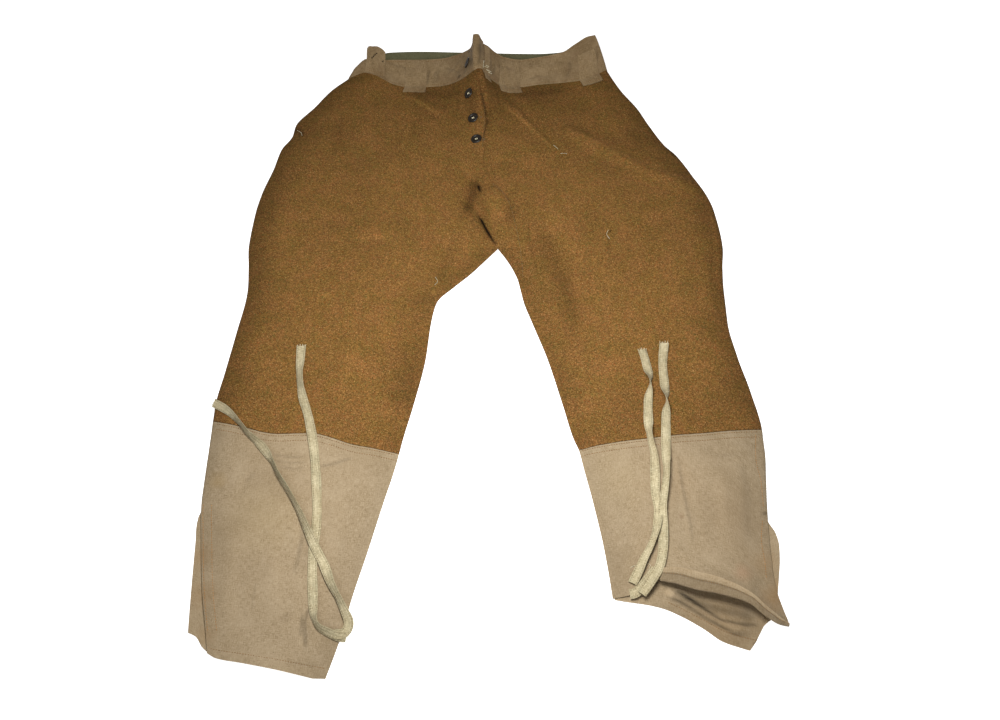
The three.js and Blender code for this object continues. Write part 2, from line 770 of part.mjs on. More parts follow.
function backInner(leg, y, inset) {
  const parted = smooth(CROTCH_Y + LEG_BLEND, CROTCH_Y + LEG_BLEND / 3, y);
  const slant = leg.slantInner(Math.min(y, CROTCH_Y - 10));
  return leg.inner(y) + leg.sign * (SEAM + inset * slant * parted);
}

function woolBack(leg) {
  const across = (a, y) => {
    const start = leg.outer(y) - leg.sign * BACK_INSET * leg.slantOuter(y);
    return mix(start, backInner(leg, y, BACK_INSET), a);
  };
  const point = (a, b) => {
    const y = mix(leg.kneeBack(across(a, KNEE_Y)) + SEAM, backSeam(across(a, WAIST_Y)) - GAP, b);
    const x = across(a, y);
    return new THREE.Vector3(x, y, backHeight(leg, x, y, WOOL));
  };
  return wall(gridForm(point, [0, 0.06, 0.13, 0.22, 0.4, 0.6, 0.8, 1], evenly(18)), WOOL);
}

function calfBack(leg) {
  const across = (a, y) => {
    const start = leg.outer(y) - leg.sign * leg.slitBack(y);
    return mix(start, backInner(leg, y, leg.slitBack(KNEE_Y)), a);
  };
  const point = (a, b) => {
    const y = mix(leg.hemBack(across(a, HEM_Y)), leg.kneeBack(across(a, KNEE_Y)) - SEAM, b);
    return new THREE.Vector3(across(a, y), y, COTTON / 2);
  };
  return wall(gridForm(point, [0, 0.08, 0.16, 0.3, 0.45, 0.6, 0.8, 1], CALF_ROWS), COTTON);
}

// ---------------------------------------------------------------- turned-up hem

const HEM_WRAP = COTTON + GAP + 0.3;
const HEM_LEAN = 0.3;           // angle of the hem line to the X axis
const HEM_CORNER_X = 199;       // inner end of the turned stretch
const HEM_WRAP_SHARE = 0.35;

// It wraps the raised edge of the left front and lies back on it.
function turnedHem() {
  const direction = new THREE.Vector3(Math.sin(HEM_LEAN), Math.cos(HEM_LEAN), 0);
  const corner = solve((t) => onForm(LEFT.calf, t, 0).x, HEM_CORNER_X);
  const point = (a, b) => {
    const edge = onForm(LEFT.calf, a * corner, 0);
    const angle = Math.min(b / HEM_WRAP_SHARE, 1) * (Math.PI / 2);
    const back = Math.max(0, (b - HEM_WRAP_SHARE) / (1 - HEM_WRAP_SHARE)) * HEM_TURN;
    edge.addScaledVector(direction, back - HEM_WRAP * Math.cos(angle));
    edge.z += HEM_WRAP * Math.sin(angle) + back * 0.05;
    return edge;
  };
  const columns = FRONT_COLUMNS.filter((a) => a < corner - 0.01).map((a) => a / corner);
  const rows = [0, 0.12, 0.24, HEM_WRAP_SHARE, 0.55, 0.78, 1];
  return wall(gridForm(point, [...columns, 1], rows), COTTON);
}

// ---------------------------------------------------------------- waistband

const frontTopY = column(FRONT_TOP, 'x', 'y');
const frontTopZ = column(FRONT_TOP, 'x', 'z');
const frontTopLean = column(FRONT_TOP, 'x', 'lean');
const backTopY = column(BACK_TOP, 'x', 'y');
const backTopZ = column(BACK_TOP, 'x', 'z');
const backTopLean = column(BACK_TOP, 'x', 'lean');
const BAND_LAP = BAND + GAP + 0.3;
const BAND_ROWS = evenly(4);
const FLY_X = centreLine(WAIST_Y);
const BACK_BAND_FROM = -235;    // ends of the back waistband
const BACK_BAND_TO = 164;

// The front band stands on the top row of the woollen front.
function frontBandPoint(leg, a, b) {
  const low = onForm(leg.wool, a, 1);
  low.y += BAND_SEAM;
  const top = new THREE.Vector3(low.x + frontTopLean(low.x), frontTopY(low.x), frontTopZ(low.x));
  return low.lerp(top, b);
}

function backBandPoint(a, b) {
  const x = mix(BACK_BAND_FROM, BACK_BAND_TO, a);
  const y = backSeam(x) + GAP;
  const leg = x < FLY_X ? RIGHT : LEFT;
  const low = new THREE.Vector3(x, y, backHeight(leg, x, y, BAND));
  const top = new THREE.Vector3(x + backTopLean(x), backTopY(x), backTopZ(x));
  return low.lerp(top, b);
}

for (const leg of [RIGHT, LEFT]) {
  leg.band = gridForm((a, b) => frontBandPoint(leg, a, b), FRONT_COLUMNS, BAND_ROWS);
}
const backBandForm = gridForm(backBandPoint, evenly(26), BAND_ROWS);

function frontBand(leg) {
  const raise = ({ x }) => BAND_LAP * smooth(FLY_RAISED + FLY_RAISED_FADE, FLY_RAISED, FLY_X - x);
  return wall(leg.band, BAND, leg === RIGHT ? raise : undefined);
}

const FACING_RISE = BAND / 2 + GAP + FACING / 2 + 0.1;   // over the middle of the band
function bandFacing() {
  const columns = backBandForm.columns.slice(2, -2);
  const span = columns[columns.length - 1] - columns[0];
  const at = (b) => mix(BAND_ROWS[1], 0.97, b);
  const point = (a, b) => onForm(backBandForm, columns[0] + a * span, at(b), FACING_RISE);
  return wall(gridForm(point, columns.map((a) => (a - columns[0]) / span), [0, 0.52, 1]), FACING);
}

// Place on the front of a leg's side, a distance s up from the waist seam: below
// it on the wool, above it on the band and, if far enough, past the band's top.
function overBand(leg, a, s, out) {
  const height = onForm(leg.band, a, 0).distanceTo(onForm(leg.band, a, 1));
  if (s > height) {
    const past = s - height;
    const rise = new THREE.Vector3(0, past * Math.cos(LOOP_TILT), past * Math.sin(LOOP_TILT));
    return onForm(leg.band, a, 1, out).add(rise);
  }
  if (s >= 0) return onForm(leg.band, a, s / height, out);
  const length = onForm(leg.wool, a, 1).y - onForm(leg.wool, a, 0).y;
  return onForm(leg.wool, a, 1 + s / length, out);
}

const columnAt = (leg, x) => solve((t) => onForm(leg.wool, t, 1).x, x);

const LOOP_TILT = 0.45;         // slope of a loop that stands past the band's top edge
const LOOP_RISE = BAND / 2 + GAP + 0.55 + LOOP / 2;
function beltLoop({ x, width, low, high }) {
  const leg = x < FLY_X ? RIGHT : LEFT;
  const from = columnAt(leg, x - width / 2);
  const to = columnAt(leg, x + width / 2);
  const point = (a, b) => overBand(leg, mix(from, to, a), mix(low, high, b), LOOP_RISE);
  return wall(gridForm(point, evenly(7), evenly(9)), LOOP);
}

// Frayed edge of the fly's facing, beside the upper front.
const FRAY_FROM = 9;            // its sides, from the centre line
const FRAY_TO = 17;
const FRAY_LOW = -9;            // its ends, from the waist seam
const FRAY_HIGH = 46;
function flyFacing() {
  const from = columnAt(LEFT, FLY_X + FRAY_FROM);
  const to = columnAt(LEFT, FLY_X + FRAY_TO);
  const point = (a, b) => overBand(LEFT, mix(from, to, a), mix(FRAY_LOW, FRAY_HIGH, b), FACING_RISE);
  return wall(gridForm(point, evenly(3), evenly(7)), FACING);
}

// ---------------------------------------------------------------- buttons

const BUTTON_HEIGHT = 3.2;
const BUTTON_FOOT = 3;          // radius of the foot
const BUTTON_RIM_LIFT = 0.9;    // height of the rim's underside over the foot
const BUTTON_DISH = 5.6;        // radius of the dish
const BUTTON_HOLE = 1.1;
const BUTTON_HOLE_SPREAD = 1.9;
const BUTTON_CLEAR = 0.4;       // clearance between the foot and the cloth

function toManifold(geometry) {
  const bare = geometry.clone();
  bare.deleteAttribute('normal');
  bare.deleteAttribute('uv');
  const merged = mergeVertices(bare, 1e-4);
  return new wasm.Manifold(new wasm.Mesh({
    numProp: 3,
    vertProperties: new Float32Array(merged.attributes.position.array),
    triVerts: new Uint32Array(merged.index.array),
  }));
}

function fromManifold(solid) {
  const mesh = solid.getMesh();
  return bufferGeometry(Array.from(mesh.vertProperties), Array.from(mesh.triVerts));
}

// A dished disc on the XY plane, with four holes and a foot under its middle.
function buttonGeometry() {
  const radius = BUTTON_DIAMETER / 2;
  const profile = [
    [0, 0], [BUTTON_FOOT, 0], [radius - 1.2, BUTTON_RIM_LIFT], [radius, 1.8], [radius - 0.5, 2.9],
    [radius - 1.5, BUTTON_HEIGHT], [BUTTON_DISH + 0.3, 2.8], [BUTTON_DISH - 0.8, 2], [0, 1.8],
  ].map(([r, z]) => new THREE.Vector2(r, z));
  const disc = new THREE.LatheGeometry(profile, 20).rotateX(Math.PI / 2);
  let solid = toManifold(disc);
  for (const [dx, dy] of [[1, 1], [-1, 1], [-1, -1], [1, -1]]) {
    const hole = new THREE.CylinderGeometry(BUTTON_HOLE, BUTTON_HOLE, 4 * BUTTON_HEIGHT, 8);
    hole.rotateX(Math.PI / 2);
    hole.translate(dx * BUTTON_HOLE_SPREAD, dy * BUTTON_HOLE_SPREAD, 0);
    solid = solid.subtract(toManifold(hole));
  }
  return fromManifold(solid);
}

// Seat and upward direction of a button on the raised edge of the right front:
// the seat is high enough for the rim to clear the cloth round it.
function buttonSeat({ beside, y, up }) {
  const radius = BUTTON_DIAMETER / 2;
  const onBand = up !== undefined;
  const cloth = onBand ? BAND_LAP + BAND / 2 : LAP_OFFSET + WOOL / 2;
  const place = (dx, dy) => {
    if (onBand) return overBand(RIGHT, columnAt(RIGHT, FLY_X - beside + dx), up + dy, cloth);
    return onForm(RIGHT.wool, ...locate(RIGHT.wool, centreLine(y) - beside + dx, y + dy), cloth);
  };
  const middle = place(0, 0);
  const normal = place(4, 0).sub(place(-4, 0)).cross(place(0, 4).sub(place(0, -4))).normalize();
  let rise = 0;
  for (let k = 0; k < 12; k += 1) {
    const angle = (k * Math.PI) / 6;
    const round = place(radius * Math.cos(angle), radius * Math.sin(angle));
    rise = Math.max(rise, round.sub(middle).dot(normal) - BUTTON_RIM_LIFT);
  }
  return { seat: middle.addScaledVector(normal, rise + BUTTON_CLEAR), normal };
}

// ---------------------------------------------------------------- tapes

const TAPE_LAYER = TAPE + 0.5;  // rise of one tape that crosses another
const TAPE_SAMPLES = [-1, -0.5, 0, 0.5, 1];
const TAPE_CROSSING = [365, 330];   // the tapes part between these places

// Height of the top of the front at a place, or at its nearest edge.
function topOfFront(leg, x, y) {
  const onWool = y > leg.knee(x);
  const form = onWool ? leg.wool : leg.calf;
  return onForm(form, ...locate(form, x, y), (onWool ? WOOL : COTTON) / 2).z;
}

function tapePath({ name, level, route }) {
  const leg = name.includes('right') ? RIGHT : LEFT;
  const plan = new THREE.CatmullRomCurve3(route.map(([x, y]) => new THREE.Vector3(x, y, 0)));
  return plan.getSpacedPoints(TAPE_STEPS).map(({ x, y }) => {
    const heights = TAPE_SAMPLES.flatMap((across) => TAPE_SAMPLES.map((along) => (
      topOfFront(leg, x + (across * TAPE_WIDTH) / 2, y + along * TAPE_WIDTH))));
    const layer = level * TAPE_LAYER * smooth(...TAPE_CROSSING, y);
    return new THREE.Vector3(x, y, Math.max(...heights) + TAPE_CLEAR + TAPE / 2 + layer);
  });
}

// A flat tube of eight sides along a path, its broad side level.
function tape(options) {
  const path = tapePath(options);
  const wide = TAPE_WIDTH / 2;
  const thick = TAPE / 2;
  const section = [
    [wide, 0], [wide * 0.86, thick], [0, thick], [-wide * 0.86, thick],
    [-wide, 0], [-wide * 0.86, -thick], [0, -thick], [wide * 0.86, -thick],
  ];
  const positions = [];
  path.forEach((centre, i) => {
    const ahead = path[Math.min(i + 1, path.length - 1)];
    const behind = path[Math.max(i - 1, 0)];
    const along = ahead.clone().sub(behind).normalize();
    const side = along.clone().cross(new THREE.Vector3(0, 0, 1)).normalize();
    const up = side.clone().cross(along).normalize();
    for (const [w, t] of section) {
      const corner = centre.clone().addScaledVector(side, w).addScaledVector(up, t);
      positions.push(corner.x, corner.y, corner.z);
    }
  });
  return bufferGeometry(positions, tubeIndex(path.length, section.length));
}

function tubeIndex(rings, sides) {
  const index = [];
  for (let i = 0; i + 1 < rings; i += 1) {
    for (let k = 0; k < sides; k += 1) {
      const next = (k + 1) % sides;
      const a = i * sides;
      const b = a + sides;
      index.push(a + k, b + next, a + next, a + k, b + k, b + next);
    }
  }
  const last = (rings - 1) * sides;
  for (let k = 1; k + 1 < sides; k += 1) {
    index.push(0, k, k + 1);
    index.push(last, last + k + 1, last + k);
  }
  return index;
}

// ---------------------------------------------------------------- the model

const model = new THREE.Group();

function addMesh(name, geometry, colour) {
  const material = new THREE.MeshStandardMaterial({ color: colour, roughness: 0.95, metalness: 0 });
  const mesh = new THREE.Mesh(geometry, material);
  mesh.name = name;
  model.add(mesh);
  return mesh;
}

for (const leg of [RIGHT, LEFT]) {
  addMesh(`front_${leg.side}`, woolFront(leg), COLOURS.wool);
  addMesh(`back_${leg.side}`, woolBack(leg), COLOURS.wool);
  addMesh(`calf_front_${leg.side}`, wall(leg.calf, COTTON), COLOURS.cotton);
  addMesh(`calf_back_${leg.side}`, calfBack(leg), COLOURS.cotton);
  addMesh(`band_front_${leg.side}`, frontBand(leg), COLOURS.band);
}
addMesh('crotch_gusset', crotchGusset(), COLOURS.wool);
addMesh('hem_turned_left', turnedHem(), COLOURS.cotton);
addMesh('band_back', wall(backBandForm, BAND), COLOURS.band);
addMesh('band_facing', bandFacing(), COLOURS.facing);
addMesh('fly_facing', flyFacing(), COLOURS.fray);
for (const loop of LOOPS) addMesh(loop.name, beltLoop(loop), COLOURS.band);
for (const button of BUTTONS) {
  const { seat, normal } = buttonSeat(button);
  const mesh = addMesh(button.name, buttonGeometry(), COLOURS.button);
  mesh.material.roughness = 0.35;
  mesh.position.copy(seat);
  mesh.quaternion.setFromUnitVectors(new THREE.Vector3(0, 0, 1), normal);
}

// The origin is under the middle of the garment, without its tapes.
const box = new THREE.Box3().setFromObject(model);
for (const options of TAPES) addMesh(options.name, tape(options), COLOURS.tape);
model.position.set(-(box.min.x + box.max.x) / 2, -(box.min.y + box.max.y) / 2, -box.min.z);

export default model;
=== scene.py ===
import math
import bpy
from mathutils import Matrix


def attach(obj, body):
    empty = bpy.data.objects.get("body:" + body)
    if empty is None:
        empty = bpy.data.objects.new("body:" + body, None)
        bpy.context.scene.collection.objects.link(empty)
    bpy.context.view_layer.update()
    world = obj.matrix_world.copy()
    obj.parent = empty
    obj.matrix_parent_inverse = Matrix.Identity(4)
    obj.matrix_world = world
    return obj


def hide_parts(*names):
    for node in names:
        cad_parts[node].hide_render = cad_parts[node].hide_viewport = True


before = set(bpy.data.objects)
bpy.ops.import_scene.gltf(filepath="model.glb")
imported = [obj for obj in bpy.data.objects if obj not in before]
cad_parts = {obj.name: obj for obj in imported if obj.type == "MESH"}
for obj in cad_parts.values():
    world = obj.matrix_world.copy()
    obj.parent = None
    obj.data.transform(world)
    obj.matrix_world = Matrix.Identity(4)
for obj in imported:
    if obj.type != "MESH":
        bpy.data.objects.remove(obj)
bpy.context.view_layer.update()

# Military breeches laid flat, front up. Sizes are millimetres in a plan frame: X to the
# wearer's left, Y from the hems to the waist, Z up. ORIGIN takes them to the frame's place.
from types import SimpleNamespace

import bpy
import numpy as np

ORIGIN = np.array((17.02, -550.886, 0.0))

# ---------------------------------------------------------------- sizes

WOOL = 2.0                       # thicknesses of the cloths
COTTON = 1.2
BAND = 2.4
FACING = 0.8
LOOP = 1.6
TAPE_WIDTH = 12.5
TAPE = 1.3
GAP = 0.3                        # between two cloths
SEAM = 0.2
CENTRE_SEAM = 0.01
BAND_SEAM = 0.4
CROTCH_Y = 660
LEG_BLEND = 45                   # over this height the legs part
ROLL_RADIUS = 5                  # of the fronts at their edges
RIM_HEIGHT = 0.5
CROWN_POWER = 0.6
BACK_INSET = WOOL + GAP + 0.6
FLY_BOTTOM = 842
FLY_FADE = 28
FLY_LAP = 20                     # reach of the left front under the right one
FLY_RAISED = 36
FLY_RAISED_FADE = 26
FLY_EDGE = 3
LAP_OFFSET = WOOL + GAP + 0.1
BAND_LAP = BAND + GAP + 0.3
KNEE_Y = 357
HEM_Y = 112
WAIST_Y = 985
ROLL_SHARE = 0.12
FRONT_SPREAD = 1.7
LOOP_TILT = 0.45                 # lean of a loop past the band, in radians
STITCH = 3.3                     # spacing of machine stitches
KNEE_ROWS = (3.2, 10.4)          # rows of stitches below the knee seam
SLIT_ROWS = (3.2, 14)            # rows of stitches beside the right calf's slit
KNEE_FOLD = 8.4                  # width of the doubled cloth below the knee seam
HEM_FOLD = 11.2                  # width of the hems
SLIT_FOLD = 12.4                 # width of the doubled cloth beside a slit
BACK_HEM_ROW = 10.6              # the row of stitches over the left back's hem
BAND_ROW_SHARES = (0.93, 0.07)   # rows of stitches along the waistband
TAPE_CLEAR = 0.5                 # height of a tape over the cloth beneath it
THREAD = 0.55                    # radius of the threads of buttons and frayed edges
LINT_RADIUS = 0.35
ELEVATION = math.radians(62)     # of the camera; the painted shading's places are read at this slant

# ---------------------------------------------------------------- outline tables

# y, x of each leg's outer edge
RIGHT_OUTER = [
    (1000, -235), (991, -243), (967, -270), (933, -295), (896, -322), (876, -325), (848, -340),
    (811, -348), (764, -361), (726, -367), (669, -370), (630, -366), (590, -363), (520, -371),
    (460, -379), (405, -386), (370, -386), (300, -386), (255, -386), (212, -385), (99, -380),
    (45, -376)]
LEFT_OUTER = [
    (1000, 169), (991, 174), (960, 193), (927, 218), (896, 234), (857, 256), (837, 273),
    (793, 297), (735, 321), (667, 328), (630, 324), (590, 322), (540, 322), (484, 330),
    (430, 342), (370, 351), (341, 351), (305, 348), (252, 344), (145, 343), (80, 345)]
# y, x of the front's centre line
CENTRE_LINE = [
    (1000, -36), (965, -33), (930, -24), (896, -20), (855, -22), (800, -26), (764, -22),
    (726, -15), (660, -3)]
# y, x of the right leg's inner edge, x of the left leg's
INSIDE_LEG = [
    (660, -3, -3), (630, -32, 17), (612, -51, 25), (600, -64, 28), (572, -90, 34), (540, -97, 45),
    (480, -103, 66), (410, -117, 85), (360, -129, 98), (345, -132, 104), (313, -139, 111),
    (272, -150, 120), (205, -167, 132), (145, -183, 139), (99, -193, 142), (45, -209, 144)]
# y, height of the rounded front
CROWN = [
    (1000, 12), (900, 12), (800, 11), (720, 8.5), (660, 6), (600, 3.7), (450, 3), (360, 2.4),
    (200, 2.2), (60, 1.8)]
# y, height of the ridge over the fly
FLY_RIDGE = [
    (1000, 48), (965, 43), (946, 36), (926, 26), (901, 16), (855, 5.5), (810, 1.5), (760, 0)]
FLY_RIDGE_RIGHT = 28.5
FLY_RIDGE_LEFT = 23
FLY_RIDGE_POWER = 1.4
# y, lift of the right corner, of the left corner
CORNER_LIFT = [
    (1005, 8, 23), (991, 6, 18), (967, 3.4, 12), (930, 1.3, 5.5), (896, 0.2, 2.5),
    (850, 0, 0.8), (800, 0, 0)]
CORNER_REACH = 34
CORNER_POWER = 1.3
# x, y of the seam between the front and its waistband
WAIST_SEAM = [
    (-246, 989), (-232, 999), (-214, 996), (-184, 984), (-160, 973), (-136, 966), (-85, 964),
    (-34, 963), (-3, 961), (30, 965), (56, 971), (96, 976), (128, 981), (155, 988), (175, 994)]
# x, lean, y, z of the front waistband's top edge
FRONT_TOP = [
    (-243, 13, 1008, 17), (-225, 8, 1016, 24), (-205, 3, 1012, 29), (-184, 0, 1009, 30),
    (-120, 0, 1011, 28), (-85, 0, 1012, 30), (-64, 0, 1012, 37), (-50, 0, 1010, 47),
    (-43, 0, 1009, 55), (-39.5, 0, 1009, 66), (-36.5, -1, 1009, 85), (-33, 0, 1009, 74),
    (-28, 0, 1009, 66),
    (-20, 0, 1009, 60), (-10, 0, 1010, 47), (6, 0, 1011, 34),
    (32, 0, 1011, 28), (64, 0, 1015, 30), (100, -1, 1020, 35), (126, -5, 1029, 45),
    (150, -9, 1037, 53), (172, -20, 1039, 54)]
# x, y of the back waistband's seam
BACK_SEAM = [
    (-240, 987), (-205, 1001), (-180, 1004), (60, 1004), (110, 1003), (150, 998), (168, 993)]
# x, lean, y, z of the back waistband's top edge
BACK_TOP = [
    (-240, 15, 1013, 14), (-222, 10, 1028, 12), (-200, 4, 1044, 4), (-180, 0, 1051, 1.2),
    (-132, 0, 1053, 1.2), (-60, 0, 1051, 1.2), (60, 0, 1048, 1.2), (95, 1, 1048, 4),
    (125, 0, 1047, 20), (150, -7, 1044, 42), (168, -18, 1043, 49)]
# x, y of the seam below each knee
RIGHT_KNEE = [
    (-386, 385), (-361, 380), (-336, 374), (-314, 368), (-295, 366), (-252, 367), (-237, 364),
    (-215, 357), (-193, 350), (-165, 345), (-132, 338)]
LEFT_KNEE = [
    (104, 344), (124, 349), (160, 355), (194, 359), (234, 364), (273, 367), (313, 371),
    (351, 373)]
# the same seam across the backs
RIGHT_KNEE_BACK = [(-386, 385), (-260, 363), (-132, 340)]
LEFT_KNEE_BACK = [(104, 344), (230, 363), (351, 373)]
# x, y of the front hem, y of the back hem, lift of the front hem
RIGHT_HEM = [
    (-386, 88, 106, 0), (-370, 86, 99, 0), (-361, 80, 86, 0), (-349, 73, 78, 0),
    (-312, 67, 72, 0), (-274, 61, 68, 0), (-207, 49, 57, 0)]
LEFT_HEM = [
    (138, 145, 145, 0), (160, 148, 141, 1), (180, 157, 138, 3), (200, 167, 133, 8),
    (220, 163, 124, 12), (246, 154, 110, 15), (277, 147, 93, 17), (306, 137, 85, 17),
    (318, 126, 82.5, 15.5), (322, 122, 112, 15), (339, 112, 126, 12), (350, 110, 135, 11)]
HEM_LIFT_REACH = 70
SLIT_FADE = 26
# y, draw of the front's edge at the slit of the calf, draw of the back's edge
RIGHT_SLIT = [
    (277, 0, 2.2), (262, 1, 2.2), (251, 2, -1), (238, 4, -2), (220, 6, -1), (155, 14, 0),
    (93, 24, 1), (60, 28, 4)]
LEFT_SLIT = [
    (262, 0, 2.2), (250, 0.5, 2.2), (240, 1, -2), (231, 1.5, -7), (215, 2, -10), (198, 2, -9),
    (173, 2, -5), (152, 0, -1), (128, -4, 2), (112, -6, 8), (80, -6, 28)]
# y, x of the seam of the gusset at the fork
GUSSET_SEAM = [
    (783, -24), (757, 2), (732, 13), (700, 20), (660, 26.5), (629, 29.5), (606, 30.5)]
GUSSET_TOP, GUSSET_BOTTOM = GUSSET_SEAM[0][0], GUSSET_SEAM[-1][0]

# ---------------------------------------------------------------- folds and creases

# path, width, height: ridges are positive, troughs negative
FOLDS = [
    ([(88, 884), (117, 870), (229, 800), (289, 777), (316, 742)], 11, 5),
    ([(-2, 955), (32, 926), (64, 874), (93, 833)], 7, -1.6),
    ([(-148, 948), (-108, 922), (-71, 897)], 9, 2.4),
    ([(-141, 912), (-150, 850)], 9, -2),
    ([(-43, 800), (-52, 722)], 10, -4),
    ([(-30, 775), (-6, 664)], 7, -3),
    ([(48, 705), (72, 640), (92, 600)], 13, -3.2),
    ([(20, 700), (60, 610), (78, 540)], 12, 2),
    ([(-260, 690), (-160, 694)], 16, 2.6),
    ([(-270, 575), (-225, 590)], 10, 1.8),
    ([(-120, 560), (-90, 572)], 8, 2),
    ([(-330, 640), (-345, 500)], 14, 1.6),
    ([(210, 356), (226, 250)], 9, 1.6),
    ([(-290, 250), (-278, 110)], 12, 1.2)]

# smaller creases of the woollen fronts
WOOL_CREASES = [
    ([(-2, 938), (27, 915), (57, 877), (84, 841), (97, 830)], 3.2, 1.1),
    ([(135, 866), (169, 846), (202, 827), (233, 808), (262, 796)], 6, -1.3),
    ([(312, 752), (314, 677), (308, 574)], 3.4, -0.9),
    ([(-154, 959), (-120, 934), (-88, 907)], 4, 0.8),
    ([(-35, 721), (-24, 702), (-15, 688), (-6, 668)], 4.5, -2.1),
    ([(-52, 798), (-57, 764), (-60, 725)], 5, 1.3),
    ([(-33, 776), (-24, 769), (-13, 765)], 5, -2.4),
    ([(-22, 742), (-38, 722), (-46, 700)], 5, -1.3),
    ([(-66, 700), (-84, 640), (-90, 600)], 9, -1.4),
    ([(-40, 676), (-70, 630), (-96, 588)], 8, 1.2),
    ([(-108, 590), (-96, 581), (-84, 578)], 4, -1.6),
    ([(-170, 600), (-134, 584), (-104, 570)], 8, -1.1),
    ([(40, 716), (84, 668), (126, 640)], 10, -1.2),
    ([(56, 590), (92, 540), (110, 470)], 11, 0.9),
    ([(-120, 700), (-190, 730), (-250, 742)], 12, -1.0),
    ([(-92, 790), (-140, 812), (-205, 818)], 13, 0.9),
    ([(-226, 930), (-240, 880), (-236, 830)], 8, -1.2),
    ([(-262, 905), (-282, 850), (-290, 800)], 9, 1.1),
    ([(-318, 893), (-308, 886), (-300, 872)], 5, -1.5),
    ([(180, 940), (196, 900), (214, 872)], 7, -1.3),
    ([(128, 944), (140, 905), (148, 880)], 8, 0.9),
    ([(216, 760), (240, 700), (246, 640)], 14, 1.0),
    ([(150, 780), (166, 720), (160, 650)], 15, -0.8),
    ([(262, 560), (276, 500), (280, 430)], 13, 1.0),
    ([(170, 520), (190, 460), (196, 400)], 14, -0.9),
    ([(-210, 520), (-222, 450), (-230, 385)], 12, 0.9),
    ([(-160, 500), (-170, 440), (-168, 380)], 11, -0.9),
    ([(-300, 470), (-318, 420), (-322, 382)], 12, -1.0),
    ([(-246, 640), (-220, 616), (-180, 604)], 13, -0.9),
    ([(20, 880), (46, 840), (60, 800)], 9, 0.8),
    ([(-86, 930), (-96, 880), (-98, 838)], 7, 0.8),
    ([(-60, 900), (-66, 860), (-64, 820)], 6, -0.7)]

# smaller creases of the cotton calves
CALF_CREASES = [
    ([(-307, 339), (-277, 335), (-256, 334)], 2.6, -0.8),
    ([(-300, 331), (-274, 326), (-253, 327)], 2.4, -0.8),
    ([(-292, 323), (-270, 318), (-253, 320)], 2.6, -0.7),
    ([(-296, 327), (-274, 322), (-255, 323)], 2.2, 0.6),
    ([(-240, 320), (-210, 325), (-180, 332)], 3.0, -1.2),
    ([(-240, 326), (-212, 331), (-190, 336)], 3.4, 0.8),
    ([(-258, 252), (-254, 220), (-255, 184)], 3.6, -1.1),
    ([(-246, 134), (-241, 107), (-237, 80)], 3.0, -1.2),
    ([(-237, 130), (-234, 112), (-234, 92)], 2.6, -1.1),
    ([(-241, 132), (-238, 108), (-235, 86)], 2.4, 0.7),
    ([(-321, 315), (-331, 298), (-336, 280)], 4, -0.6),
    ([(-345, 240), (-338, 180), (-344, 120)], 9, 0.6),
    ([(-200, 300), (-204, 230), (-214, 150)], 12, -0.7),
    ([(-310, 210), (-322, 150), (-318, 96)], 10, -0.5),
    ([(-180, 280), (-190, 220), (-198, 170)], 7, 0.6),
    ([(230, 344), (236, 274), (242, 210)], 2.8, 1.0),
    ([(238, 330), (246, 270), (254, 214)], 6, -0.8),
    ([(320, 340), (322, 290), (310, 200)], 7, -0.9),
    ([(296, 320), (288, 270), (286, 222)], 9, 0.7),
    ([(262, 345), (290, 330), (318, 334)], 7, -0.7),
    ([(150, 320), (160, 260), (166, 206)], 9, 0.7),
    ([(140, 250), (150, 220), (158, 178)], 7, -0.6),
    ([(176, 210), (166, 190), (156, 166)], 5, 0.8),
    ([(262, 250), (276, 220), (300, 186)], 9, -0.7),
    ([(216, 214), (236, 196), (262, 182)], 6, 0.8)]
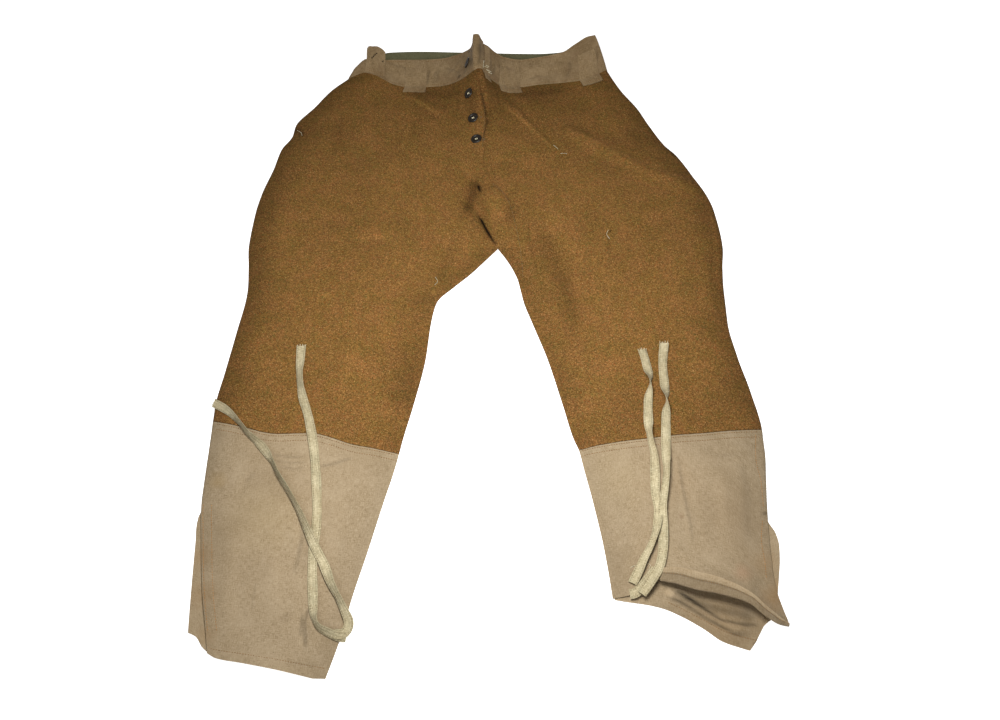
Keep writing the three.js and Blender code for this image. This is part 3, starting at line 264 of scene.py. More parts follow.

# painted shading of the wool: lines and areas painted darker as shade in creases, folds and the
# fork and toward the waist and the knees, and lighter as painted highlights on ridges; a few are
# marks of the cloth, a painted hole and a thread: path, width, share
WOOL_PAINTED_SHADING_AND_MARKS = [
    ([(-36, 796), (-39, 770), (-46, 743), (-47, 712)], 11, -0.36),
    ([(-34, 780), (-29, 765)], 2.2, -0.55),
    ([(-36, 727), (-27, 713), (-21, 698), (-10, 677), (-1, 667)], 2.3, -0.62),
    ([(-38, 730), (-25, 706), (-12, 676)], 9, -0.22),
    ([(-30, 778), (-19, 777), (-5, 776), (4, 765), (15, 749), (20, 734)], 2.2, -0.22),
    ([(-16, 762), (-4, 742), (2, 715)], 10, 0.14), ([(15, 746), (16, 724), (10, 703)], 9, -0.2),
    ([(41, 736), (42, 713), (42, 683), (47, 652), (60, 606)], 2.2, -0.16),
    ([(48, 725), (64, 683), (78, 648), (91, 612), (104, 545), (112, 480)], 14, -0.22),
    ([(70, 745), (95, 690), (112, 640)], 16, 0.08),
    ([(-60, 690), (-80, 640), (-96, 600)], 10, -0.1),
    ([(-6, 936), (27, 915), (57, 877), (84, 848)], 2.4, 0.30),
    ([(104, 884), (128, 873), (169, 850), (228, 815), (262, 800), (299, 780)], 2.0, 0.30),
    ([(110, 896), (180, 862), (240, 832), (292, 800)], 8, -0.10),
    ([(-22, 822), (-2, 829), (15, 828), (28, 817)], 3.4, 0.13),
    ([(-33, 985), (-24, 930), (-20, 896), (-25, 866), (-25, 852)], 1.9, -0.38),
    ([(-20, 930), (-15, 896), (-19, 866)], 5, -0.12),
    ([(-44, 966), (-42, 930), (-40, 890)], 9, -0.14),
    ([(-160, 966), (-100, 955), (-50, 955)], 8, -0.12),
    ([(10, 955), (60, 960), (120, 972)], 6, -0.12),
    ([(-154, 959), (-120, 934), (-88, 907)], 2.4, 0.2),
    ([(-140, 911), (-147, 869), (-152, 841)], 2.4, 0.16),
    ([(-150, 948), (-112, 920), (-84, 896)], 7, -0.1),
    ([(314, 752), (317, 677), (311, 590)], 3, 0.14),
    ([(-272, 577), (-253, 585), (-233, 590)], 3.8, 0.13),
    ([(-215, 682), (-184, 685), (-153, 685)], 6, 0.13),
    ([(-228, 668), (-186, 670), (-150, 668)], 7, -0.1), ([(161, 695), (163, 694)], 1.9, -0.95),
    ([(160, 690), (159, 676), (159, 646)], 1.5, -0.28), ([(-99, 592), (-93, 584)], 3.5, 0.3),
    ([(-330, 893), (-312, 884), (-306, 872)], 3.5, -0.3),
    ([(252, 858), (266, 842), (276, 832)], 3, -0.2),
    ([(230, 560), (226, 500), (232, 440)], 12, -0.08),
    ([(-200, 520), (-212, 450), (-216, 392)], 10, 0.07),
    ([(-200, 985), (-60, 980), (20, 980), (180, 985)], 75, -0.24),
    ([(300, 700), (292, 620), (296, 540)], 12, 0.09),
    ([(110, 405), (230, 395), (345, 398)], 56, -0.13),
    ([(-140, 400), (-136, 440), (-130, 520)], 24, -0.12),
    ([(-380, 410), (-260, 408), (-150, 400)], 50, -0.05),
    ([(-300, 760), (-318, 690), (-316, 600)], 16, 0.08),
    ([(-240, 930), (-250, 880), (-246, 830)], 9, -0.12),
    ([(196, 900), (212, 870), (222, 840)], 8, -0.1)]
EDGE_PAINTED_SHADE = -0.36                # painted shade: the fronts are painted darker toward their rolled edges, where they turn from the light
EDGE_PAINTED_SHADE_WIDTH = 34

# painted shading of the cotton fronts, and of the back inside the open end of the left leg: painted
# shade in creases and folds, at the slits and the hems and toward the knee seams, and painted
# highlights on ridges
CALF_PAINTED_SHADING = [
    ([(-242, 320), (-216, 326), (-190, 336)], 2.2, -0.34),
    ([(-307, 339), (-277, 335), (-256, 334)], 1.7, -0.24),
    ([(-300, 331), (-274, 326), (-253, 327)], 1.6, -0.2),
    ([(-292, 323), (-270, 318), (-255, 320)], 1.7, -0.22),
    ([(-247, 238), (-253, 209), (-256, 172)], 3.4, -0.24),
    ([(-238, 236), (-244, 205), (-246, 172)], 3.4, -0.12),
    ([(-234, 138), (-238, 120), (-233, 80)], 2.3, -0.42), ([(-243, 128), (-242, 98)], 2.0, -0.32),
    ([(-230, 134), (-232, 110)], 3, 0.1), ([(-302, 170), (-304, 150), (-303, 128)], 1.6, -0.16),
    ([(-321, 315), (-331, 298)], 2.4, -0.14), ([(-372, 380), (-376, 340), (-374, 290)], 5, -0.08),
    ([(235, 344), (236, 293), (243, 247), (245, 206)], 1.6, -0.16),
    ([(240, 344), (241, 293), (248, 247)], 2.6, 0.06),
    ([(320, 340), (321, 274), (312, 200)], 6, -0.13),
    ([(200, 345), (206, 300), (208, 250)], 6, -0.1),
    ([(262, 350), (290, 336), (326, 340)], 4, -0.09),
    ([(288, 320), (284, 270), (290, 220)], 8, 0.05),
    ([(238, 192), (262, 186), (290, 172), (318, 150)], 5, -0.1),
    ([(335, 257), (346, 256)], 1.3, -0.65), ([(-212, 64), (-240, 68), (-262, 71)], 2.0, -0.15),
    ([(150, 300), (156, 240), (164, 190)], 8, -0.06),
    ([(130, 400), (240, 390), (360, 380)], 60, -0.14),
    ([(150, 250), (250, 240), (340, 240)], 60, -0.08),
    ([(-330, 120), (-260, 110), (-190, 100)], 30, -0.06)]
# painted shade inside the open end of the left leg, darkest under its raised hem, with painted
# highlights on its folds
CUFF_PAINTED_SHADING = [
    ([(170, 140), (230, 112), (270, 96), (330, 98)], 22, -0.20),
    ([(290, 118), (330, 112)], 14, -0.14), ([(204, 156), (216, 150)], 9, 0.26),
    ([(202, 160), (232, 146), (262, 134), (300, 126), (322, 120)], 8, -0.42),
    ([(196, 163), (222, 153), (251, 133), (270, 119), (303, 113), (322, 113)], 2.0, -0.5),
    ([(193, 153), (221, 141), (253, 120), (284, 103), (307, 98)], 2.0, -0.48),
    ([(215, 140), (244, 124), (272, 108), (298, 104)], 4, 0.08)]

# path (x, height over the seam), width, share: painted shade in the front waistband's creases and
# painted highlights beside them
BAND_PAINTED_SHADING = [
    ([(-116, 0), (-115, 18), (-112, 32)], 1.8, -0.4), ([(-44, 42), (-47, 38)], 2.2, -0.6),
    ([(-60, 9), (-65, 3)], 2.4, -0.6), ([(-34, 2), (-34, 20), (-36, 46)], 2.0, -0.42),
    ([(-46, 30), (-50, 18), (-58, 10)], 5, -0.22), ([(40, 11), (62, 15), (84, 10)], 1.8, -0.18),
    ([(40, 24), (66, 27), (96, 22)], 2, 0.14), ([(-190, 30), (-160, 33), (-130, 31)], 2, -0.2),
    ([(-180, 14), (-150, 18), (-126, 13)], 2.4, 0.12),
    ([(-98, 4), (-100, 18), (-96, 30)], 1.8, -0.26), ([(-26, 4), (-22, 22), (-24, 40)], 3, 0.16),
    ([(-14, 6), (-10, 20), (-8, 34)], 2, -0.25), ([(104, 4), (112, 20), (112, 38)], 2.4, -0.2),
    ([(-204, 14), (-196, 30), (-194, 42)], 3, -0.2), ([(150, 8), (156, 24), (154, 42)], 2.4, -0.2),
    ([(-90, 34), (-74, 24), (-60, 12)], 2.2, -0.22)]

# ---------------------------------------------------------------- small mathematics


def mix(a, b, t):
    return a + (b - a) * t


def smooth(start, end, value):
    t = np.clip((value - start) / (end - start), 0, 1)
    return t * t * (3 - 2 * t)


def column(rows, value=1):
    """A smooth function of a table's first column, which never overshoots its rows."""
    rows = sorted(rows, key=lambda row: row[0])
    xs = np.array([row[0] for row in rows], float)
    ys = np.array([row[value] for row in rows], float)
    steps = np.diff(ys) / np.diff(xs)
    slopes = np.empty(len(xs))
    slopes[0], slopes[-1] = steps[0], steps[-1]
    before, after = steps[:-1], steps[1:]
    together = np.where(before + after == 0, 1, before + after)
    slopes[1:-1] = np.where(before * after <= 0, 0, 2 * before * after / together)

    def at(x):
        x = np.clip(np.asarray(x, float), xs[0], xs[-1])
        i = np.clip(np.searchsorted(xs, x) - 1, 0, len(xs) - 2)
        h = xs[i + 1] - xs[i]
        t = (x - xs[i]) / h
        rise = ys[i + 1] - ys[i]
        a = slopes[i] * h - rise
        b = rise - slopes[i + 1] * h
        return ys[i] + t * rise + t * (1 - t) * (a * (1 - t) + b * t)

    return at


def unit(vectors):
    return vectors / np.linalg.norm(vectors, axis=-1, keepdims=True)


def distances(points):
    """Distance passed at each point of a row."""
    return np.concatenate(([0.0], np.cumsum(np.linalg.norm(np.diff(points, axis=0), axis=-1))))


def flat_row(a, y):
    return np.full(np.shape(a), float(y))


def path_distance(path, x, y):
    """Distance to a path, and the share of the path passed at the nearest point."""
    nearest = np.full(np.shape(x), np.inf)
    along = np.zeros(np.shape(x))
    for i, ((ax, ay), (bx, by)) in enumerate(zip(path, path[1:])):
        length = (bx - ax) ** 2 + (by - ay) ** 2
        t = np.clip(((x - ax) * (bx - ax) + (y - ay) * (by - ay)) / length, 0, 1)
        d = np.hypot(x - mix(ax, bx, t), y - mix(ay, by, t))
        closer = d < nearest
        nearest = np.where(closer, d, nearest)
        along = np.where(closer, (i + t) / (len(path) - 1), along)
    return nearest, along


def fold_height(folds, x, y):
    total = np.zeros(np.shape(x))
    for path, width, height in folds:
        d, along = path_distance(path, x, y)
        taper = smooth(0, 0.25, along) * smooth(1, 0.75, along)
        total += height * taper * np.exp(-((d / width) ** 2))
    return total


def ripple(x, y):
    """Slight unevenness that laid cloth has everywhere."""
    return (
        0.30 * np.sin(x / 19.0 + 1.3 * np.sin(y / 47.0)) * np.sin(y / 31.0 + 0.8)
        + 0.22 * np.sin(x / 9.5 + y / 23.0 + 2.1) * np.sin(y / 17.0 - x / 53.0)
        + 0.34 * np.sin(y / 41.0 - x / 37.0 + 0.4))


# ---------------------------------------------------------------- the laid-out form

crown = column(CROWN)
fly_ridge = column(FLY_RIDGE)
waist_seam = column(WAIST_SEAM)
back_seam = column(BACK_SEAM)
gusset_seam = column(GUSSET_SEAM)
centre_line = column(CENTRE_LINE)


def make_leg(side, sign, index, outline, knee, knee_back, hem, slit):
    outer = column(outline)
    inside = column(INSIDE_LEG, index)

    def inner(y):
        return np.where(y < CROTCH_Y, inside(y), centre_line(y))

    def slant(edge, y):
        return np.hypot(1, (edge(y + 2) - edge(y - 2)) / 4)

    return SimpleNamespace(
        side=side, sign=sign, outer=outer, inner=inner,
        slant_outer=lambda y: slant(outer, y),
        slant_inner=lambda y: slant(inside, y),
        lift=column(CORNER_LIFT, index),
        knee=column(knee), knee_back=column(knee_back),
        hem_front=column(hem), hem_back=column(hem, 2), hem_lift=column(hem, 3),
        slit_front=column(slit), slit_back=column(slit, 2), slit_top=slit[0][0])


RIGHT = make_leg("right", -1, 1, RIGHT_OUTER, RIGHT_KNEE, RIGHT_KNEE_BACK, RIGHT_HEM,
                 RIGHT_SLIT)
LEFT = make_leg("left", 1, 2, LEFT_OUTER, LEFT_KNEE, LEFT_KNEE_BACK, LEFT_HEM, LEFT_SLIT)


def joined(y):
    return smooth(CROTCH_Y - LEG_BLEND, CROTCH_Y, y)


def body_share(y):
    return smooth(CROTCH_Y - LEG_BLEND, CROTCH_Y + LEG_BLEND, y)


def ridge_height(x, y):
    offset = x - centre_line(y)
    spread = np.where(offset < 0, FLY_RIDGE_RIGHT, FLY_RIDGE_LEFT)
    return fly_ridge(y) * np.exp(-((np.abs(offset) / spread) ** FLY_RIDGE_POWER))


def corner_lift(leg, x, y):
    inward = np.maximum(0, (leg.outer(y) - x) * leg.sign)
    return leg.lift(y) * np.exp(-((inward / CORNER_REACH) ** CORNER_POWER))


def hem_lift(leg, x, y):
    reach = np.clip((y - leg.hem_front(x)) / HEM_LIFT_REACH, 0, 1)
    return leg.hem_lift(x) * (1 - reach) ** 2


def roll_share(distance):
    t = np.clip(distance / ROLL_RADIUS, 0, 1)
    return np.sqrt(1 - (1 - t) ** 2)


def front_height(leg, x, y, cloth, fine=None):
    """Height of the middle of the front cloth over a place of the plan."""
    outer = leg.outer(y)
    inner = leg.inner(y)
    u = np.clip((x - outer) / (inner - outer), 0, 1)
    from_outer = np.abs(x - outer) / leg.slant_outer(y) - cloth / 2
    from_inner = np.abs(inner - x) / leg.slant_inner(y) - cloth / 2
    slit_open = smooth(leg.slit_top, leg.slit_top - SLIT_FADE, y)
    roll_outer = mix(roll_share(from_outer), 1, slit_open)
    roll_inner = mix(roll_share(from_inner), 1, joined(y))
    rest = cloth * 1.5 + GAP
    rounded = np.sin(np.pi * u * (1 - body_share(y) / 2)) ** CROWN_POWER
    rise = crown(y) * rounded + ridge_height(x, y) + fold_height(FOLDS, x, y)
    if fine is not None:
        soft = smooth(0, 14, np.minimum(from_outer, np.where(y < CROTCH_Y, from_inner, 99)))
        rise = rise + soft * (fold_height(fine, x, y) + ripple(x, y))
    lifted = corner_lift(leg, x, y) + hem_lift(leg, x, y)
    return mix(RIM_HEIGHT, rest, roll_outer * roll_inner) + np.maximum(rise, 0) + lifted


def wool_height(leg, x, y):
    return front_height(leg, x, y, WOOL, WOOL_CREASES)


def calf_height(leg, x, y):
    return front_height(leg, x, y, COTTON, CALF_CREASES) + calf_relief(leg, x, y)


def fly_open(y):
    return smooth(FLY_BOTTOM, FLY_BOTTOM + FLY_FADE, y)


def lap_share(inward):
    return smooth(FLY_RAISED + FLY_RAISED_FADE, FLY_RAISED, inward)


def lap_raise(x, y):
    raised = smooth(FLY_BOTTOM - 2 * FLY_FADE, FLY_BOTTOM - FLY_FADE, y)
    return LAP_OFFSET * raised * lap_share(centre_line(y) - x)


def band_raise(leg, x):
    return BAND_LAP * lap_share(FLY_X - x) * (leg is RIGHT)


def front_inner(leg, y):
    seam = leg.inner(y) + leg.sign * np.where(y < CROTCH_Y, 0, CENTRE_SEAM)
    if leg is RIGHT:
        return seam + FLY_EDGE * fly_open(y)
    beside = (y > GUSSET_BOTTOM) & (y < GUSSET_TOP)
    beside_seam = np.maximum(seam, gusset_seam(y) + CENTRE_SEAM)
    return np.where(beside, beside_seam, seam - FLY_LAP * fly_open(y))


def across_plan(start, end, start_rim, end_rim, a):
    direction = np.sign(end - start)

    def rounding(t):
        return ROLL_RADIUS * (1 - np.cos(np.minimum(1, t) * np.pi / 2))

    first = start + direction * (start_rim + rounding(a / ROLL_SHARE))
    last = end - direction * (end_rim + rounding((1 - a) / ROLL_SHARE))
    t = np.clip((a - ROLL_SHARE) / (1 - 2 * ROLL_SHARE), 0, 1)
    middle = mix(last, first, (1 - t) ** FRONT_SPREAD)
    return np.where(a <= ROLL_SHARE, first, np.where(a >= 1 - ROLL_SHARE, last, middle))


def front_plan(leg, a, y, cloth, drawn_in=0):
    start_rim = (cloth / 2) * leg.slant_outer(y) + drawn_in
    end_rim = (cloth / 2) * leg.slant_inner(y) * (1 - joined(y))
    return across_plan(leg.outer(y), front_inner(leg, y), start_rim, end_rim, a)


def knee_at(leg, a):
    return leg.knee(front_plan(leg, a, flat_row(a, KNEE_Y), WOOL))


def wool_front(leg, a, b):
    waist = flat_row(a, WAIST_Y)
    top = waist_seam(front_plan(leg, a, waist, WOOL)) - BAND_SEAM / 2
    y = mix(knee_at(leg, a) + SEAM, top, b)
    x = front_plan(leg, a, y, WOOL)
    return np.stack((x, y, wool_height(leg, x, y)), -1)


def calf_relief(leg, x, y):
    """Doubled cloth under the knee seam, along the hem and beside the slit."""
    below = leg.knee(x) - y
    above = y - leg.hem_front(x)
    seam = 0.55 * smooth(KNEE_FOLD + 1, KNEE_FOLD, below)
    seam = seam - 0.5 * np.exp(-((below - KNEE_FOLD - 0.2) ** 2))
    hem = 0.5 * smooth(HEM_FOLD + 1, HEM_FOLD, above) - 0.45 * np.exp(-((above - HEM_FOLD) ** 2))
    beside = np.abs(x - leg.outer(y)) - leg.slit_front(y)
    ends = smooth(leg.slit_top + 70, leg.slit_top + 40, y)
    slit = 0.45 * smooth(SLIT_FOLD + 1, SLIT_FOLD, beside) * ends
    return seam + hem + slit


def calf_front(leg, a, b):
    hem_place = flat_row(a, HEM_Y)
    hem_x = front_plan(leg, a, hem_place, COTTON, leg.slit_front(hem_place))
    y = mix(leg.hem_front(hem_x), knee_at(leg, a) - SEAM, b)
    x = front_plan(leg, a, y, COTTON, leg.slit_front(y))
    return np.stack((x, y, calf_height(leg, x, y)), -1)


def back_inner(leg, y, inset):
    parted = smooth(CROTCH_Y + LEG_BLEND, CROTCH_Y + LEG_BLEND / 3, y)
    slant = leg.slant_inner(np.minimum(y, CROTCH_Y - 10))
    return leg.inner(y) + leg.sign * (SEAM + inset * slant * parted)


def wool_back(leg, a, b):
    def across(y):
        start = leg.outer(y) - leg.sign * BACK_INSET * leg.slant_outer(y)
        return mix(start, back_inner(leg, y, BACK_INSET), a)

    knee = leg.knee_back(across(flat_row(a, KNEE_Y))) + SEAM
    top = back_seam(across(flat_row(a, WAIST_Y))) - GAP
    y = mix(knee, top, b)
    x = across(y)
    return np.stack((x, y, WOOL / 2 + corner_lift(leg, x, y)), -1)


def calf_back(leg, a, b):
    def across(y):
        start = leg.outer(y) - leg.sign * leg.slit_back(y)
        return mix(start, back_inner(leg, y, 2.2), a)

    hem = leg.hem_back(across(flat_row(a, HEM_Y)))
    y = mix(hem, leg.knee_back(across(flat_row(a, KNEE_Y))) - SEAM, b)
    x = across(y)
    return np.stack((x, y, COTTON / 2 + cuff_folds(leg, x, y)), -1)


# path, width, height of the folds inside the open end of the left leg
CUFF_FOLDS = [
    ([(206, 160), (238, 144), (276, 134), (300, 126)], 4.0, 3.0),
    ([(197, 153), (221, 139), (255, 121), (288, 108), (318, 106)], 3.6, 3.4),
    ([(214, 133), (240, 118), (270, 103), (300, 98)], 1.6, 0.9)]


def cuff_folds(leg, x, y):
    """Folds of the back where the end of the left leg stands open."""
    if leg is RIGHT:
        return np.zeros(np.shape(x))
    low = leg.hem_back(x)
    folds = fold_height(CUFF_FOLDS, x, y)
    hem = 0.6 * smooth(12, 10.5, y - low)
    inside = smooth(0, 5, y - low)
    return np.minimum(folds, np.maximum(0, cuff_room(x, y))) * inside + hem


def cuff_room(x, y):
    """Height that is free over the back under the raised hem."""
    front = front_height(LEFT, x, y, COTTON) - COTTON * 1.5 - 0.6
    return np.where(y < LEFT.hem_front(x), 6.0, np.maximum(front - COTTON / 2, 0.0))


# ---------------------------------------------------------------- meshes


def spline(route, count):
    """Evenly spaced points on a smooth curve through a route."""
    route = np.array(route, float)
    padded = np.vstack((2 * route[0] - route[1], route, 2 * route[-1] - route[-2]))
    points = []
    for p0, p1, p2, p3 in zip(padded, padded[1:], padded[2:], padded[3:]):
        for t in np.linspace(0, 1, 24, endpoint=False):
            points.append(0.5 * (2 * p1 + (p2 - p0) * t + (2 * p0 - 5 * p1 + 4 * p2 - p3) * t ** 2
                                 + (3 * p1 - p0 - 3 * p2 + p3) * t ** 3))
    points = np.array(points + [route[-1]])
    along = distances(points)
    at = np.linspace(0, along[-1], count)
    return np.stack([np.interp(at, along, points[:, k]) for k in range(points.shape[1])], -1)


def normals_of(points):
    down = np.gradient(points, axis=0)
    across = np.gradient(points, axis=1)
    normal = np.cross(across, down)
    normal /= np.maximum(np.linalg.norm(normal, axis=-1, keepdims=True), 1e-9)
    middle = normal[normal.shape[0] // 2, normal.shape[1] // 2]
    return normal if middle[2] >= 0 else -normal


def arc_lengths(points):
    """Lengths along the rows and columns of a grid, in metres, as the weave's place."""
    u = np.zeros(points.shape[:2])
    v = np.zeros(points.shape[:2])
    u[:, 1:] = np.cumsum(np.linalg.norm(np.diff(points, axis=1), axis=-1), axis=1)
    v[1:, :] = np.cumsum(np.linalg.norm(np.diff(points, axis=0), axis=-1), axis=0)
    u -= u[:, u.shape[1] // 2][:, None]
    return np.stack((u, v, np.zeros(u.shape)), -1) / 1000


def object_from(points, faces, name):
    mesh = bpy.data.meshes.new(name)
    mesh.from_pydata(points, [], faces)
    made = bpy.data.objects.new(name, mesh)
    bpy.context.scene.collection.objects.link(made)
    return made


def add_mesh(name, points, faces, material, slot=None, nodes=(), cloth=None, sharp=45,
             painted_shading_and_marks=None):
    piece = object_from(((np.asarray(points) + ORIGIN) / 1000).tolist(), faces, name)
    mesh = piece.data
    if cloth is not None:
        mesh.attributes.new("cloth", "FLOAT_VECTOR", "POINT")
        mesh.attributes["cloth"].data.foreach_set("vector", np.ravel(cloth))
    # painted shade and painted highlights, with a few marks, held on the vertices
    if painted_shading_and_marks is not None:
        mesh.attributes.new("painted_shading_and_marks", "FLOAT", "POINT")
        mesh.attributes["painted_shading_and_marks"].data.foreach_set("value", np.ravel(painted_shading_and_marks))
    mesh.validate()
    mesh.shade_smooth()
    mesh.set_sharp_from_angle(angle=math.radians(sharp))
    mesh.materials.append(material)
    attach(piece, "root")
    if nodes:
        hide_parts(*nodes)
    return piece


def grid_faces(height, width, shift=0, flip=False):
    k = shift + (np.arange(height - 1)[:, None] * width + np.arange(width - 1)[None, :])
    quads = np.stack((k, k + 1, k + width + 1, k + width), -1).reshape(-1, 4)
    return quads[:, ::-1] if flip else quads


def shell_mesh(outside, inside, normal):
    """Vertices and faces of a closed wall between two grids."""
    height, width = outside.shape[:2]
    total = height * width
    across = outside[height // 2, width // 2 + 1] - outside[height // 2, width // 2]
    up = outside[height // 2 + 1, width // 2] - outside[height // 2, width // 2]
    flip = np.dot(np.cross(across, up), normal[height // 2, width // 2]) < 0
    faces = [grid_faces(height, width, 0, flip), grid_faces(height, width, total, not flip)]
    index = np.arange(total).reshape(height, width)
    loop = np.concatenate((index[0, :-1], index[:-1, -1], index[-1, :0:-1], index[:0:-1, 0]))
    after = np.roll(loop, -1)
    side = np.stack((loop, loop + total, after + total, after), -1)
    faces.append(side[:, ::-1] if flip else side)
    points = np.concatenate((outside.reshape(-1, 3), inside.reshape(-1, 3)))
    return points, np.concatenate(faces).tolist()


def shell(name, points, thickness, material, slot, nodes, offset=0.0, painted_shading_and_marks=None):
    """A thin shell on a grid's form, moved out along its normals."""
    normal = normals_of(points)
    offset = np.asarray(offset)[..., None] if np.ndim(offset) else offset
    outside = points + normal * (offset + thickness / 2)
    inside = points + normal * (offset - thickness / 2)
    vertices, faces = shell_mesh(outside, inside, normal)
    place = arc_lengths(points).reshape(-1, 3)
    painted_shading_and_marks = np.zeros(points.shape[:2]) if painted_shading_and_marks is None else painted_shading_and_marks
    return add_mesh(name, vertices, faces, material, slot, nodes, np.concatenate((place, place)),
                    painted_shading_and_marks=np.concatenate((np.ravel(painted_shading_and_marks), np.zeros(painted_shading_and_marks.size))))


# Painted shading of a front: its painted lines of shade, highlight and marks, read at the camera's
# slant, and painted shade toward its outer and inner edges.
def front_painted_shading(leg, points, painted_lines):
    x, y = points[..., 0], points[..., 1]
    from_outer = np.abs(x - leg.outer(y))
    from_inner = np.where(y < CROTCH_Y, np.abs(leg.inner(y) - x), 999)
    edge_shade_mask = np.exp(-((from_outer / EDGE_PAINTED_SHADE_WIDTH) ** 2))
    edge_shade_mask = edge_shade_mask + 0.65 * np.exp(-((from_inner / EDGE_PAINTED_SHADE_WIDTH) ** 2))
    level = y + points[..., 2] / math.tan(ELEVATION)
    return 1.25 * fold_height(painted_lines, x, level) + EDGE_PAINTED_SHADE * edge_shade_mask


def unit_grid(columns, rows):
    return np.meshgrid(np.asarray(columns, float), np.asarray(rows, float))


def front_columns(roll, interior):
    edge = np.linspace(0, 1, roll + 1) * ROLL_SHARE
    between = np.linspace(ROLL_SHARE, 1 - ROLL_SHARE, interior + 2)[1:-1]
    return np.concatenate((edge, between, 1 - edge[::-1]))


# ---------------------------------------------------------------- materials


def colour(red, green, blue):
    """Linear colour of a display colour."""
    parts = [c / 255 for c in (red, green, blue)]
    linear = [c / 12.92 if c < 0.04045 else ((c + 0.055) / 1.055) ** 2.4 for c in parts]
    return (*linear, 1.0)


class Shader:
    """A principled material and the nodes that feed it."""

    def __init__(self, name, on_cloth=True, **sockets):
        self.material = bpy.data.materials.new(name)
        self.material.use_nodes = True
        self.tree = self.material.node_tree
        self.bsdf = self.tree.nodes["Principled BSDF"]
        for socket, value in sockets.items():
            self.bsdf.inputs[socket.replace("_", " ")].default_value = value
        coordinates = self.node("ShaderNodeTexCoord")
        self.object_place = coordinates.outputs["Object"]
        self.place = self.object_place
        if on_cloth:
            self.place = self.node("ShaderNodeAttribute", attribute_name="cloth").outputs["Vector"]

    def node(self, kind, inputs=None, **settings):
        made = self.tree.nodes.new(kind)
        for key, value in settings.items():
            setattr(made, key, value)
        for key, value in (inputs or {}).items():
            if isinstance(value, bpy.types.NodeSocket):
                self.tree.links.new(value, made.inputs[key])
            else:
                made.inputs[key].default_value = value
        return made

    def math(self, operation, a, b=0.0, clamp=False):
        node = self.node("ShaderNodeMath", {0: a, 1: b}, operation=operation, use_clamp=clamp)
        return node.outputs[0]

    def stretched(self, x, y, z=1.0, shift=(0, 0, 0)):
        inputs = {"Vector": self.place, "Scale": (x, y, z), "Location": shift}
        return self.node("ShaderNodeMapping", inputs).outputs[0]

    def noise(self, scale, detail=2.0, rough=0.5, vector=None, shift=None):
        vector = vector or self.place
        if shift is not None:
            vector = self.stretched(1, 1, 1, (shift, shift * 0.7, shift * 0.3))
        inputs = {"Vector": vector, "Scale": scale, "Detail": detail, "Roughness": rough}
        return self.node("ShaderNodeTexNoise", inputs).outputs["Fac"]

    def ramp(self, factor, *stops):
        node = self.node("ShaderNodeValToRGB", {"Fac": factor})
        elements = node.color_ramp.elements
        while len(elements) < len(stops):
            elements.new(0.5)
        for element, (position, value) in zip(elements, stops):
            element.position = position
            element.color = value
        return node.outputs["Color"]

    def between(self, factor, low, high):
        """0 below low, 1 above high."""
        inputs = {"Value": factor, "From Min": low, "From Max": high}
        return self.node("ShaderNodeMapRange", inputs, clamp=True).outputs[0]

    def blend(self, factor, a, b, kind="MIX"):
        inputs = {0: factor, 6: a, 7: b}
        return self.node("ShaderNodeMix", inputs, data_type="RGBA", blend_type=kind).outputs[2]

    def times(self, base, factor):
        return self.blend(1.0, base, factor, "MULTIPLY")

    def tinted(self, base, mask, share, tint):
        """The base, with a share of another colour where a mask is 1."""
        return self.blend(self.math("MULTIPLY", mask, share), base, tint)

    def spot(self, x, y, radius, soft=0.9, uneven=0.3):
        """1 within a radius of a place of the plan, with an uneven edge; millimetres."""
        centre = ((x + ORIGIN[0]) / 1000, (y + ORIGIN[1]) / 1000, 0)
        flat = self.node("ShaderNodeVectorMath",
                         {0: self.object_place, 1: (1, 1, 0)}, operation="MULTIPLY").outputs[0]
        away = self.node("ShaderNodeVectorMath", {0: flat, 1: centre}, operation="DISTANCE")
        wobble = self.math("MULTIPLY_ADD", self.noise(90, 3), uneven * radius / 500)
        wobble.node.inputs[2].default_value = -uneven * radius / 1000
        reach = self.math("ADD", away.outputs["Value"], wobble)
        return self.between(reach, radius / 1000, radius * (1 - soft) / 1000)

    def toned(self, base):
        """The colour darkened by painted shade and lightened by painted highlights held on the
        mesh, with a few marks of the cloth.
        """
        painted_shading_and_marks = self.node("ShaderNodeAttribute", attribute_name="painted_shading_and_marks").outputs["Fac"]
        return self.times(base, self.math("ADD", painted_shading_and_marks, 1.0))

    def finish(self, base, height=None, distance=0.0004, strength=0.7):
        self.tree.links.new(base, self.bsdf.inputs["Base Color"])
        if height is not None:
            inputs = {"Height": height, "Strength": strength, "Distance": distance}
            bump = self.node("ShaderNodeBump", inputs)
            self.tree.links.new(bump.outputs[0], self.bsdf.inputs["Normal"])
        return self.material


TAPE_STITCH = 4.2                # from the middle of a tape to its row of stitches


